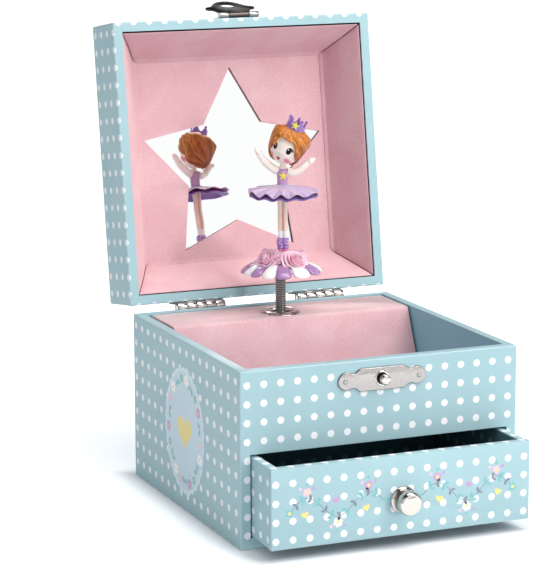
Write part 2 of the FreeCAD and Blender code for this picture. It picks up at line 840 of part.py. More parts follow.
# Printed cover of the lid: closed on top, with a turned-in rim below.
lid_cover_blank = box(
    "lid_cover_blank", (-half_width, half_width), (-half_depth, half_depth), (lid_rim, lid_top)
)
lid_cover_round = fillet("lid_cover_rounded", lid_cover_blank, dim["cover_round"], lambda edge: True)
lid_cover_cuts = [
    box(
        "lid_cover_core",
        (-board_x, board_x),
        (-board_y, board_y),
        (lid_rim + dim["paper"], lid_top - dim["paper"]),
    ),
    box(
        "lid_cover_mouth",
        (-inner_x, inner_x),
        (-inner_y, inner_y),
        (lid_rim - 1, lid_rim + dim["paper"] + 1),
    ),
]
lid_cover_cuts += hinge_holes("lid_cover_hole", lid_screw_z)
lid_cover_cuts += bracket_holes("lid_cover_nail")
node(on_lid(cut("lid_cover", lid_cover_round, *lid_cover_cuts)), "lid_wrap")

# Lid lining: mirror against the ceiling, star panel over it, four sloped flaps.
slip = 0.3
glass_low = lid_ceiling - dim["mirror_glass"]
panel_low = glass_low - dim["panel_card"]
lining_x = inner_x - slip
lining_y = inner_y - slip
mirror = box("mirror", (-lining_x, lining_x), (-lining_y, lining_y), (glass_low, lid_ceiling))
node(on_lid(mirror, -lining_x, -lining_y, glass_low), "lid_mirror")
panel = new_body("panel")
panel_sketch = sketch_on(panel, "panel_outline", "XY_Plane")
polygon(
    panel_sketch,
    [(-lining_x, -lining_y), (lining_x, -lining_y), (lining_x, lining_y), (-lining_x, lining_y)],
)
star = []
for k in range(10):
    reach = dim["star_radius"] if k % 2 == 0 else dim["star_waist"]
    spoke = math.radians(36 * k)
    star.append((reach * math.sin(spoke), dim["star_shift"] - reach * math.cos(spoke)))
polygon(panel_sketch, star)
pad(panel, panel_sketch, dim["panel_card"])
node(on_lid(panel, 0.0, 0.0, panel_low), "star_panel")


def funnel(name, inset, low, high):
    # A frustum from the rim opening up to the edge of the star panel.
    obj = doc.addObject("Part::Wedge", name)
    rise = panel_low - lid_rim
    rim_half_x = inner_x - dim["flap_gap"] - inset
    rim_half_y = inner_y - dim["flap_gap"] - inset
    top_half = dim["panel_half"] - inset
    slope_x = (rim_half_x - top_half) / rise
    slope_y = (rim_half_y - top_half) / rise
    low_x = rim_half_x - slope_x * low
    low_y = rim_half_y - slope_y * low
    high_x = rim_half_x - slope_x * high
    high_y = rim_half_y - slope_y * high
    for prop, size in (
        ("Xmin", -low_x),
        ("Xmax", low_x),
        ("Zmin", -low_y),
        ("Zmax", low_y),
        ("X2min", -high_x),
        ("X2max", high_x),
        ("Z2min", -high_y),
        ("Z2max", high_y),
        ("Ymin", low),
        ("Ymax", high),
    ):
        bind(obj, prop, size)
    obj.Placement = FreeCAD.Placement(Vec(0, 0, 0), FreeCAD.Rotation(Vec(1, 0, 0), 90))
    return place(obj, 0.0, 0.0, lid_rim)


flap_rise = panel_low - lid_rim
flap_low = as_size(dim["paper"])
flap_core = funnel("flap_core", as_size(0.0), flap_low - 2, flap_rise + 2)
flap_shell = funnel("flap_shell", -dim["flap_card"], flap_low, flap_rise)
mitres = []
for i, (sx, sy) in enumerate(((-1, -1), (1, -1), (1, 1), (-1, 1))):
    slot = doc.addObject("Part::Box", "mitre_%d" % i)
    bind(slot, "Length", dim["flap_gap"])
    bind(slot, "Width", dim["box_width"])
    bind(slot, "Height", dim["lid_height"])
    turn = math.degrees(math.atan2(-sx, sy))
    slot.Placement = FreeCAD.Placement(Vec(0, 0, 0), FreeCAD.Rotation(Vec(0, 0, 1), turn))
    corner_run_x = inner_x - dim["panel_half"]
    corner_x = (inner_x - corner_run_x * 2) * sx
    corner_y = (inner_y - corner_run_x * 2) * sy
    side = dim["flap_gap"] * 0.5
    spin = math.radians(turn)
    place(slot, corner_x - side * math.cos(spin), corner_y - side * math.sin(spin), lid_rim - 1)
    mitres.append(slot)
node(on_lid(cut("flaps", flap_shell, flap_core, *mitres)), "lid_flaps")

# Hasp: bracket nailed to the lid front, pin, and the flap that drops over the stud.
ear = as_size(4.9)
ear_gap = dim["barrel_gap"]
hasp_bore = dim["hasp_pin"] + dim["pin_gap"]
bracket_span = (-bracket_half, bracket_half)
bracket = cut(
    "bracket",
    fuse(
        "bracket_blank",
        box("bracket_sheet", bracket_span, plate_y, (hasp_z, hasp_z + dim["bracket_height"])),
        rod("bracket_barrel", "x", dim["hasp_knuckle"], bracket_span, hasp_y, hasp_z),
    ),
    rod("bracket_notch", "x", dim["hasp_knuckle"] + ear_gap, (-ear - ear_gap, ear + ear_gap), hasp_y, hasp_z),
    rod("bracket_bore", "x", hasp_bore, (-bracket_half - 1, bracket_half + 1), hasp_y, hasp_z),
    *bracket_holes("bracket_hole"),
)
node(on_lid(bracket), "hasp_bracket")
axle_y, axle_z = swing(hasp_y, hasp_z, pin_y, pin_z, dim["lid_open"])
node(rod("hasp_axle", "x", dim["hasp_pin"], bracket_span, axle_y, axle_z), "hasp_pin")
bracket_fixings = group(
    "bracket_fixings",
    *[
        screw(
            "bracket_nail_%d" % i,
            x,
            catch_face,
            z,
            1,
            dim["nail_radius"],
            dim["nail_head"],
            nail_length,
            0.4,
        )
        for i, (x, z) in enumerate(bracket_nails)
    ],
)
node(on_lid(bracket_fixings), "hasp_nails")
flap_y = (hasp_y - dim["plate"] * 0.75, hasp_y + dim["plate"] * 0.25)
stud_bore = dim["stud_head"] + dim["hasp_play"]
ear_radius = as_size(3.6)
ear_x = dim["hasp_width"] / 2 - ear_radius
hasp = cut(
    "hasp_shut",
    fuse(
        "hasp_blank",
        rod("hasp_barrel", "x", dim["hasp_knuckle"], (-ear, ear), hasp_y, hasp_z),
        box("hasp_neck", (-ear, ear), flap_y, (rim, hasp_z)),
        box("hasp_sheet", (-ear_x, ear_x), flap_y, (catch_z + 2.2, hasp_z - dim["hasp_knuckle"] - 0.8)),
        rod("hasp_ear_left", "y", ear_radius, -ear_x, flap_y, catch_z + 3.4),
        rod("hasp_ear_right", "y", ear_radius, ear_x, flap_y, catch_z + 3.4),
        rod("hasp_eye", "y", stud_bore + dim["hasp_rim"], 0.0, flap_y, catch_z),
    ),
    rod("hasp_eye_bore", "y", stud_bore, 0.0, (flap_y[0] - 1, flap_y[1] + 1), catch_z),
    rod("hasp_pin_bore", "x", hasp_bore, (-ear - 1, ear + 1), hasp_y, hasp_z),
)
folded_y, folded_z = swing(0.0, 0.0, hasp_y, hasp_z, dim["hasp_folded"])
folded_y, folded_z = swing(folded_y, folded_z, pin_y, pin_z, dim["lid_open"])
hasp_turn = 360.0 - dim["lid_open"] - dim["hasp_folded"]
hasp.Placement = FreeCAD.Placement(Vec(0, 0, 0), FreeCAD.Rotation(Vec(1, 0, 0), hasp_turn.value))
bind(hasp, "Placement.Rotation.Angle", hasp_turn)
node(place(hasp, 0.0, folded_y, folded_z), "hasp_flap")

# Drawer: five boards, with a knob screwed to the front.
drawer_y = -half_depth - dim["drawer_out"]
drawer_end = drawer_y + dim["drawer_length"]
drawer_half = inner_x - dim["drawer_gap"]
drawer_low = base_top + dim["drawer_gap"]
drawer_z = (drawer_low, drawer_low + dim["drawer_height"])
knob_z = drawer_low + dim["drawer_height"] / 2 - dim["knob_drop"]
front_inside = drawer_y + dim["drawer_board"]
back_inside = drawer_end - dim["drawer_board"]
side_inside = drawer_half - dim["drawer_board"]
bolt_hole = dim["knob_bolt"] + dim["hole_gap"]
node(
    cut(
        "drawer_face",
        box("drawer_face_blank", (-drawer_half, drawer_half), (drawer_y, front_inside), drawer_z),
        rod("drawer_face_hole", "y", bolt_hole, 0.0, (drawer_y - 1, front_inside + 1), knob_z),
    ),
    "drawer_front",
)
node(
    group(
        "drawer_cheeks",
        box("cheek_left", (-drawer_half, -side_inside), (front_inside, back_inside), drawer_z),
        box("cheek_right", (side_inside, drawer_half), (front_inside, back_inside), drawer_z),
    ),
    "drawer_sides",
)
node(
    box("drawer_rear", (-drawer_half, drawer_half), (back_inside, drawer_end), drawer_z),
    "drawer_back",
)
node(
    box(
        "drawer_base",
        (-side_inside, side_inside),
        (front_inside, back_inside),
        (drawer_low, drawer_low + dim["drawer_floor"]),
    ),
    "drawer_bottom",
)
head_squash = 0.62
knob_tip = drawer_y - dim["knob_reach"]
collar = fillet(
    "collar",
    rod("collar_blank", "y", dim["knob_collar"], 0.0, (drawer_y - 2.4, drawer_y), knob_z),
    as_size(1.0),
    lambda edge: edge.BoundBox.YMin < drawer_y.value - 1.0 and edge.BoundBox.YLength < 0.1,
)
bolt_reach = dim["knob_reach"] * 0.6
node(
    cut(
        "knob",
        fuse(
            "knob_blank",
            collar,
            rod("knob_stem", "y", dim["knob_neck"], 0.0, (knob_tip + 3, drawer_y), knob_z),
            ball(
                "knob_head",
                dim["knob_radius"],
                0.0,
                knob_tip + dim["knob_radius"] * head_squash,
                knob_z,
                head_squash,
                "y",
            ),
        ),
        rod("knob_tap", "y", bolt_hole, 0.0, (drawer_y - bolt_reach, drawer_y + 1), knob_z),
    ),
    "drawer_knob",
)
node(
    screw(
        "knob_fixing",
        0.0,
        front_inside,
        knob_z,
        -1,
        dim["knob_bolt"],
        dim["knob_bolt"] * 2,
        dim["drawer_board"] + bolt_reach - 0.3,
        1.4,
    ),
    "knob_screw",
)

# Dancer: hollow flower base on the coil, then legs, skirt, torso, arms and head.
figure_z = stage_top + dim["rim_rise"]
coil_top = dim["base_rise"] * 0.4
socket = dim["spring_radius"] + dim["spin_gap"]
hub = socket + 2.0
rim_r = dim["rim_radius"]
base_h = dim["base_rise"]
flower = turned(
    "flower",
    [
        (0.0, coil_top + 0.3),
        (socket, coil_top + 0.3),
        (socket, 0.8),
        (hub, 0.8),
        (hub, base_h * 0.55),
        (rim_r * 0.72, base_h * 0.4),
        (rim_r - 1.4, 0.0),
        (rim_r, 0.0),
        (rim_r * 0.965, base_h * 0.32),
        (rim_r * 0.76, base_h * 0.72),
        (rim_r * 0.42, base_h * 0.97),
        (0.0, base_h),
    ],
)
node(place(flower, 0.0, axis_y, figure_z), "figure_base")
node(
    cut(
        "coil",
        rod("coil_outer", "z", dim["spring_radius"], 0.0, axis_y, (dim["spring_seat"], figure_z + coil_top)),
        rod(
            "coil_inner",
            "z",
            dim["spring_radius"] - dim["spring_wire"],
            0.0,
            axis_y,
            (dim["spring_seat"] - 1, figure_z + coil_top + 1),
        ),
    ),
    "figure_spring",
)
leg_r = dim["leg_radius"]
hip_z = figure_z + dim["leg_top"]
ankle_z = figure_z + base_h
leg_x = leg_r * 1.05
legs = []
for tag, sign in (("left", -1), ("right", 1)):
    legs.append(rod("leg_" + tag, "z", leg_r, leg_x * sign, axis_y, (ankle_z - 1, hip_z)))
    legs.append(ball("shoe_" + tag, leg_r * 1.5, leg_x * sign, axis_y - 1.2, ankle_z + 0.6, 0.7, "z"))
node(cut("legs", fuse("legs_blank", *legs), flower), "figure_legs")
rose_ring = rim_r * 0.5
roses = []
for k in range(6):
    spoke = math.radians(60 * k + 30)
    roses.append(
        ball(
            "rose_%d" % k,
            rim_r * 0.2,
            rose_ring * math.cos(spoke),
            axis_y + rose_ring * math.sin(spoke),
            figure_z + base_h * 1.06,
            0.8,
            "z",
        )
    )
node(cut("roses", fuse("roses_blank", *roses), flower, parts[-1]), "base_roses")
waist_r = dim["waist_radius"]
waist_z = hip_z + 3.0
neck_z = figure_z + dim["neck_top"]
torso_h = neck_z - hip_z
torso = turned(
    "torso",
    [
        (0.0, 0.0),
        (waist_r, 0.0),
        (waist_r, 3.0),
        (waist_r * 0.85, torso_h * 0.32),
        (waist_r * 1.1, torso_h * 0.62),
        (waist_r * 0.9, torso_h * 0.78),
        (waist_r * 0.5, torso_h * 0.84),
        (waist_r * 0.5, torso_h),
        (0.0, torso_h),
    ],
)
node(place(torso, 0.0, axis_y, hip_z), "figure_torso")
skirt_in = waist_r + 0.1
skirt_r = dim["skirt_radius"]
skirt = turned(
    "skirt",
    [
        (skirt_in, 0.4),
        (skirt_in, 2.4),
        (skirt_r * 0.55, 1.2),
        (skirt_r, 2.0 - dim["skirt_drop"]),
        (skirt_r, 0.9 - dim["skirt_drop"]),
        (skirt_r * 0.5, -0.4),
    ],
)
node(place(skirt, 0.0, axis_y, hip_z), "figure_tutu")

# Arms and head lean with the pose, so they are drawn along free directions.
shoulder_z = hip_z.value + torso_h.value * 0.7
face_turn = math.radians(22.6)
side_way = Vec(math.cos(face_turn), -math.sin(face_turn), 0)
front_way = Vec(-math.sin(face_turn), -math.cos(face_turn), 0)
middle = Vec(0, axis_y.value, shoulder_z)
ARM_RADIUS = 1.15


def limb(points):
    shape = Part.makeSphere(ARM_RADIUS, points[-1])
    for start, end in zip(points, points[1:]):
        step = end - start
        shape = shape.fuse(Part.makeCylinder(ARM_RADIUS, step.Length, start, step))
        shape = shape.fuse(Part.makeSphere(ARM_RADIUS, end))
    return shape


reach = waist_r.value
arm_left = limb(
    [
        middle - side_way * reach,
        middle - side_way * 9.2 + Vec(0, 0, -1.2) + front_way * 1.5,
        middle - side_way * 12.6 + Vec(0, 0, 7.6) + front_way * 2.5,
    ]
)
arm_right = limb(
    [
        middle + side_way * reach,
        middle + side_way * 9.4 + Vec(0, 0, -3.4) + front_way * 1.5,
        middle + side_way * 14.6 + Vec(0, 0, 3.6) + front_way * 2.5,
    ]
)
doc.recompute()
arms = doc.addObject("Part::Feature", "arms")
arms.Shape = Part.makeCompound([arm_left.cut(torso.Shape), arm_right.cut(torso.Shape)])
node(arms, "figure_arms")

head_lean = math.radians(20.0)
head_up = side_way * math.sin(head_lean) + Vec(0, 0, math.cos(head_lean))
neck_point = Vec(0, axis_y.value, neck_z.value)
head_centre = neck_point + head_up * (dim["head_radius"].value - 1.0) + front_way * 0.6
hair_centre = head_centre + head_up * 0.8 - front_way * 0.9
head_ball = Part.makeSphere(dim["head_radius"].value, head_centre)
hair_ball = Part.makeSphere(dim["hair_radius"].value, hair_centre)
face_gap = Part.makeCylinder(
    dim["head_radius"].value * 0.72, 30.0, head_centre - head_up * 1.6 + front_way * 2.0, front_way
)
head = doc.addObject("Part::Feature", "head")
head.Shape = head_ball.cut(torso.Shape).cut(arms.Shape)
node(head, "figure_head")
hair_shell = hair_ball.cut(head_ball).cut(face_gap).cut(torso.Shape).cut(arms.Shape)
hair = doc.addObject("Part::Feature", "hair")
hair.Shape = max(hair_shell.Solids, key=lambda solid: solid.Volume)
node(hair, "figure_hair")
crown_r = dim["hair_radius"].value * 0.42
crown_high = figure_z.value + dim["crown_top"].value
crown_root = hair_centre + head_up * (dim["hair_radius"].value - 1.6)
crown_length = (crown_high - crown_root.z) / math.cos(head_lean) - crown_r * math.tan(head_lean)
crown_tube = Part.makeCylinder(crown_r, crown_length, crown_root, head_up)
crown_hole = Part.makeCylinder(crown_r - 0.9, crown_length + 2, crown_root - head_up, head_up)
crown = doc.addObject("Part::Feature", "crown")
crown.Shape = crown_tube.cut(crown_hole).cut(hair_ball).cut(head_ball)
node(crown, "figure_crown")

# Movement in the bay behind the slope: everything stands on the bedplate at the back.


def gear(name, teeth, pitch_radius, module, tip, phase, thickness, bore=None):
    # A straight-toothed wheel about its own Z axis, its first tooth at the phase angle.
    body = new_body(name)
    root_radius = pitch_radius - module * 1.25
    disc = sketch_on(body, name + "_disc", "XY_Plane")
    circle(disc, root_radius)
    if bore is not None:
        circle(disc, bore)
    pad(body, disc, thickness)
    pitch = module * math.pi
    corners = [
        (root_radius - module * 0.3, pitch * 0.26),
        (pitch_radius, pitch * 0.2),
        (pitch_radius + tip, pitch * 0.1),
    ]
    outline = corners + [(reach, -half) for reach, half in reversed(corners)]
    turned_outline = [
        (u * cosine(phase) - v * sine(phase), u * sine(phase) + v * cosine(phase))
        for u, v in outline
    ]
    tooth = sketch_on(body, name + "_tooth", "XY_Plane")
    polygon(tooth, turned_outline)
    tooth_pad = pad(body, tooth, thickness)
    ring_of(body, [tooth_pad], teeth)
    return body


def pegs(body, count, ring, u_wise, length, below):
    # A ring of round pegs standing on the body's XY plane, above or below it.
    sketch = sketch_on(body, body.Name + "_peg", "XY_Plane")
    if u_wise:
        circle(sketch, dim["peg_radius"], ring, 0.0)
    else:
        circle(sketch, dim["peg_radius"], 0.0, ring)
    peg = pad(body, sketch, length)
    peg.Reversed = below
    pattern = body.newObject("PartDesign::PolarPattern", body.Name + "_pegs")
    pattern.Originals = [peg]
    axis = [f for f in body.Origin.OriginFeatures if f.Role == "Z_Axis"][0]
    pattern.Axis = (axis, [""])
    pattern.Angle = 360.0
    bind(pattern, "Occurrences", count)
    body.Tip = pattern


def lay(obj, along, x, y, z):
    obj.Placement = FreeCAD.Placement(Vec(0, 0, 0), TURNS[along])
    return place(obj, x, y, z)


# Spring drum: open cup with a toothed flange and a ring of drive pegs.
ring_gear = gear(
    "ring_gear",
    dim["drum_teeth"],
    drum_pitch,
    dim["tooth_module"],
    addendum,
    180.0 / dim["drum_teeth"],
    dim["flange"],
    cup_inside,
)
pegs(ring_gear, dim["drive_pegs"], drive_pitch, True, peg_length, True)
lay(ring_gear, "y", 0.0, flange_front, arbor_z)
arbor_bore = dim["arbor_radius"] + dim["spin_gap"]
cup = cut(
    "cup",
    rod("cup_outer", "y", dim["drum_radius"], 0.0, (drum_front, flange_back), arbor_z),
    rod("cup_inner", "y", cup_inside, 0.0, (drum_front + dim["drum_wall"], flange_back + 1), arbor_z),
    rod("cup_bore", "y", arbor_bore, 0.0, (drum_front - 1, flange_back), arbor_z),
)
node(fuse("drum", cup, ring_gear), "spring_drum")

# Mainspring: a flat strip wound between the arbor and the cup.
STRIP = 0.45
COILS = 5
STEPS = 40
inner_r = dim["arbor_radius"].value + 0.5
outer_r = cup_inside.value - 0.2
ribbon = []
for side in (0.0, -STRIP):
    line = []
    for k in range(COILS * STEPS + 1):
        share = k / (COILS * STEPS)
        angle = 2 * math.pi * k / STEPS
        radius = inner_r + STRIP + (outer_r - inner_r - STRIP) * share + side
        line.append(Vec(radius * math.cos(angle), 0, arbor_z.value + radius * math.sin(angle)))
    ribbon.append(line)
strip_y = drum_front.value + dim["drum_wall"].value + 0.4
strip_width = dim["drum_length"].value - dim["drum_wall"].value - 1.2
strip_outline = Part.makePolygon(ribbon[0] + ribbon[1][::-1] + ribbon[0][:1])
strip_outline.translate(Vec(0, strip_y, 0))
mainspring = doc.addObject("Part::Feature", "strip")
mainspring.Shape = Part.Face(strip_outline).extrude(Vec(0, strip_width, 0))
node(mainspring, "mainspring")

# Winding arbor and key.
head_y = drum_front - 0.3
key_y = half_depth + dim["key_gap"]
hub_end = key_y + 9.0
arbor_end = key_y + 7.0
node(
    fuse(
        "arbor",
        rod("arbor_shaft", "y", dim["arbor_radius"], 0.0, (head_y - 1.1, arbor_end), arbor_z),
        rod("arbor_head", "y", dim["arbor_radius"] + 1.4, 0.0, (head_y - 1.1, head_y), arbor_z),
        rod(
            "arbor_collar",
            "y",
            dim["arbor_radius"] + 1.2,
            0.0,
            (flange_back + 0.4, bed_front - 0.3),
            arbor_z,
        ),
    ),
    "winding_arbor",
)
wing_y = hub_end + 3.0
wing_x = dim["key_wing"] * 0.94
blade_z = (arbor_z - dim["key_blade"] / 2, arbor_z + dim["key_blade"] / 2)
key_blank = fuse(
    "key_blank",
    rod("key_barrel", "y", dim["key_hub"], 0.0, (key_y, hub_end), arbor_z),
    rod("key_lobe_left", "z", dim["key_wing"], -wing_x, wing_y, blade_z),
    rod("key_lobe_right", "z", dim["key_wing"], wing_x, wing_y, blade_z),
    box("key_web", (-wing_x, wing_x), (hub_end - 4.0, wing_y + 3.0), blade_z),
)
wing_span = (blade_z[0] - 1, blade_z[1] + 1)
node(
    cut(
        "key",
        key_blank,
        rod(
            "key_bore",
            "y",
            dim["arbor_radius"] + dim["hole_gap"],
            0.0,
            (key_y - 1, arbor_end + 0.2),
            arbor_z,
        ),
        rod("key_eye_left", "z", dim["key_wing"] * 0.4, -wing_x - 1.0, wing_y, wing_span),
        rod("key_eye_right", "z", dim["key_wing"] * 0.4, wing_x + 1.0, wing_y, wing_span),
    ),
    "winding_key",
)

# Pinned cylinder with its pinion and wheel on one shaft.
pinion = gear(
    "pinion",
    dim["pinion_teeth"],
    pinion_pitch,
    dim["tooth_module"],
    addendum,
    as_size(0.0),
    pinion_half * 2,
)
lay(pinion, "x", drive_pitch - pinion_half, shaft_y, arbor_z)
wheel = gear(
    "wheel",
    dim["wheel_teeth"],
    wheel_pitch,
    dim["wheel_module"],
    fine_addendum,
    as_size(0.0),
    wheel_width,
)
lay(wheel, "x", wheel_x, shaft_y, arbor_z)
tune = []
comb_start = drum_end + 0.1
comb_width = dim["cylinder_length"] - 0.2
notes = int(dim["comb_teeth"].value)
for k in range(notes):
    note_x = comb_start.value + comb_width.value * (k + 0.5) / notes
    for j in range(3):
        angle = math.radians(137.5 * k + 47.0 * j * (1 + k % 3))
        way = Vec(0, math.cos(angle), math.sin(angle))
        foot_at = Vec(note_x, shaft_y.value, arbor_z.value) + way * (dim["cylinder_radius"].value - 0.6)
        tune.append(Part.makeCylinder(0.24, dim["music_pin"].value + 0.6, foot_at, way))
music_pins = doc.addObject("Part::Feature", "music_pins")
music_pins.Shape = tune[0].fuse(tune[1:])
node(
    fuse(
        "music_cylinder",
        rod("music_drum", "x", dim["cylinder_radius"], (drum_end, barrel_end), shaft_y, arbor_z),
        rod(
            "music_shaft",
            "x",
            dim["shaft_radius"],
            (drive_pitch - pinion_half, shaft_end),
            shaft_y,
            arbor_z,
        ),
        pinion,
        wheel,
        music_pins,
    ),
    "pin_cylinder",
)

# Fly governor: pinion, shaft and two blades.
fly_pinion = gear(
    "fly_pinion",
    dim["fly_teeth"],
    fly_pitch,
    dim["wheel_module"],
    fine_addendum,
    180.0 / dim["fly_teeth"],
    wheel_width,
)
lay(fly_pinion, "x", wheel_x, shaft_y, fly_z)
node(
    fuse(
        "fly",
        fly_pinion,
        rod("fly_axle", "x", dim["fly_shaft"], (wheel_x, lug_c + dim["lug"] + 0.6), shaft_y, fly_z),
        box(
            "fly_blades",
            (blade_x, blade_end),
            (shaft_y - dim["fly_radius"], shaft_y + dim["fly_radius"]),
            (fly_z - 0.4, fly_z + 0.4),
        ),
    ),
    "governor_fly",
)

# Tone comb: a steel plate slit into teeth, on a block of the bedplate.
comb_tip = arbor_z + dim["cylinder_radius"] + dim["music_pin"] + dim["comb_gap"]
comb_root = comb_tip + dim["comb_reach"]
comb_top = comb_root + 6.0
comb_card = as_size(1.0)
comb_height = comb_top - comb_tip
comb_pitch = comb_width / dim["comb_teeth"]
comb_slot = as_size(0.26)
comb = new_body("comb")
comb_plate = sketch_on(comb, "comb_plate", "XY_Plane")
polygon(comb_plate, [(0.0, 0.0), (comb_width, 0.0), (comb_width, comb_height), (0.0, comb_height)])
pad(comb, comb_plate, comb_card)
slit = sketch_on(comb, "comb_slit", "XY_Plane")
slit_left = comb_pitch - comb_slot / 2
slit_right = comb_pitch + comb_slot / 2
polygon(
    slit,
    [(slit_left, -1.0), (slit_right, -1.0), (slit_right, dim["comb_reach"]), (slit_left, dim["comb_reach"])],
)
slit_cut = comb.newObject("PartDesign::Pocket", "comb_slit_cut")
slit_cut.Profile = slit
slit_cut.Type = "ThroughAll"
slit_cut.Reversed = True
slits = comb.newObject("PartDesign::LinearPattern", "comb_slits")
slits.Originals = [slit_cut]
slits.Direction = (slit, ["H_Axis"])
bind(slits, "Length", comb_pitch * (dim["comb_teeth"] - 2))
bind(slits, "Occurrences", dim["comb_teeth"] - 1)
comb.Tip = slits
comb.Placement = FreeCAD.Placement(Vec(0, 0, 0), FreeCAD.Rotation(Vec(1, 0, 0), 90))
comb_back = shaft_y + comb_card / 2
comb_face = comb_back - comb_card
place(comb, comb_start, comb_back, comb_tip)
comb_screw_z = comb_top - 3.0
comb_screw_xs = [comb_start + comb_width * share for share in (0.2, 0.8)]
comb_screw_radius = 0.9
comb_hole = comb_screw_radius + dim["hole_gap"]
comb_bolt = comb_card + 5.0


def comb_holes(name):
    return [
        rod(
            "%s_%d" % (name, i),
            "y",
            comb_hole,
            x,
            (comb_face - 1, comb_face + comb_bolt + 0.2),
            comb_screw_z,
        )
        for i, x in enumerate(comb_screw_xs)
    ]


node(cut("comb_drilled", comb, *comb_holes("comb_hole")), "tone_comb")
node(
    group(
        "comb_fixings",
        *[
            screw(
                "comb_screw_%d" % i, x, comb_face, comb_screw_z, 1, comb_screw_radius, 1.7, comb_bolt, 0.9
            )
            for i, x in enumerate(comb_screw_xs)
        ],
    ),
    "comb_screws",
)

# Bedplate with its bearing lugs and the comb block.
lug_y = (shaft_y - 2.4, bed_front)
shaft_bore = dim["shaft_radius"] + dim["spin_gap"]
fly_bore = dim["fly_shaft"] + dim["spin_gap"]
lug_low = fly_z - 2.4
lug_high = arbor_z + 3.0
bed = cut(
    "bed",
    fuse(
        "bed_blank",
        box("bed_sheet", (bed_left, bed_right), (bed_front, inner_y), (bed_low, bed_high)),
        box("bed_lug_a", (lug_a, lug_a + dim["lug"]), lug_y, (arbor_z - 3.0, lug_high)),
        box("bed_lug_b", (lug_b, lug_b + dim["lug"]), lug_y, (lug_low, lug_high)),
        box("bed_lug_c", (lug_c, lug_c + dim["lug"]), lug_y, (lug_low, fly_z + 2.4)),
        box(
            "bed_comb_block",
            (comb_start, comb_start + comb_width),
            (comb_back, bed_front),
            (comb_root + 0.6, comb_top),
        ),
    ),
    rod("bed_arbor_bore", "y", arbor_bore, 0.0, (bed_front - 1, inner_y + 1), arbor_z),
    rod("bed_shaft_bore", "x", shaft_bore, (lug_a - 1, shaft_end + 1), shaft_y, arbor_z),
    rod("bed_fly_bore", "x", fly_bore, (lug_b - 1, lug_c + dim["lug"] + 1), shaft_y, fly_z),
    *comb_holes("bed_comb_hole"),
    *[
        rod("bed_screw_hole_%d" % i, "y", bed_hole, x, (bed_front - 1, inner_y + 1), z)
        for i, (x, z) in enumerate(bed_screws)
    ],
)
node(bed, "movement_bedplate")
node(
    group(
        "bed_fixings",
        *[
            screw(
                "bed_screw_%d" % i, x, bed_front, z, 1, bed_screw_radius, 2.0, bed_screw_length, 1.1
            )
            for i, (x, z) in enumerate(bed_screws)
        ],
    ),
    "movement_screws",
)

# Spindle with its crown wheel, and the bridge that carries it.
crown_low = arbor_z + drum_pitch + addendum + dim["mesh_gap"]
crown_card = as_size(1.5)
crown_high_z = crown_low + crown_card
crown_wheel = new_body("crown_wheel")
crown_disc = sketch_on(crown_wheel, "crown_disc", "XY_Plane")
circle(crown_disc, crown_pitch + 1.0)
pad(crown_wheel, crown_disc, crown_card)
pegs(crown_wheel, dim["crown_pegs"], crown_pitch, False, peg_length, True)
place(crown_wheel, 0.0, axis_y, crown_low)
collar_top = dim["spring_seat"] - 0.2
tang = dim["spring_radius"] - dim["spring_wire"] - dim["spin_gap"]
node(
    fuse(
        "spindle_blank",
        crown_wheel,
        rod("spindle_post", "z", dim["spindle_radius"], 0.0, axis_y, (crown_low, collar_top)),
        rod("spindle_tang", "z", tang, 0.0, axis_y, (crown_low, stage_top)),
    ),
    "spindle",
)
bridge_low = crown_high_z + 0.7
bridge_card = as_size(1.6)
bridge_half = as_size(6.0)
node(
    cut(
        "bridge",
        fuse(
            "bridge_blank",
            box(
                "bridge_arm",
                (-bridge_half, bridge_half),
                (axis_y - 4.6, bed_front),
                (bridge_low, bridge_low + bridge_card),
            ),
            box(
                "bridge_foot",
                (-bridge_half, bridge_half),
                (bed_front - 1.5, bed_front),
                (bridge_low, bed_high),
            ),
            rod("bridge_boss", "z", 4.0, 0.0, axis_y, (bridge_low, collar_top - 0.2)),
        ),
        rod(
            "bridge_bore",
            "z",
            dim["spindle_radius"] + dim["spin_gap"],
            0.0,
            axis_y,
            (bridge_low - 1, collar_top + 1),
        ),
    ),
    "spindle_bridge",
)

# Every piece is checked before any file is written.
doc.recompute()
failed = [o.Name for o in doc.Objects if {"Invalid", "Error"} & set(o.State)]
for obj in parts:
    shape = obj.Shape
    if shape.isNull() or not shape.isValid() or not shape.Solids:
        failed.append(obj.Label)
labels = [obj.Label for obj in parts]
failed += [label for label in labels if labels.count(label) > 1]
if failed:
    raise RuntimeError("these pieces did not build: " + ", ".join(failed))
os.makedirs("parts", exist_ok=True)
for obj in parts:
    obj.Shape.exportStep("parts/%s.step" % obj.Label)
print(len(parts), "pieces written")
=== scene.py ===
import bpy
import json
import math
from mathutils import Matrix, Vector

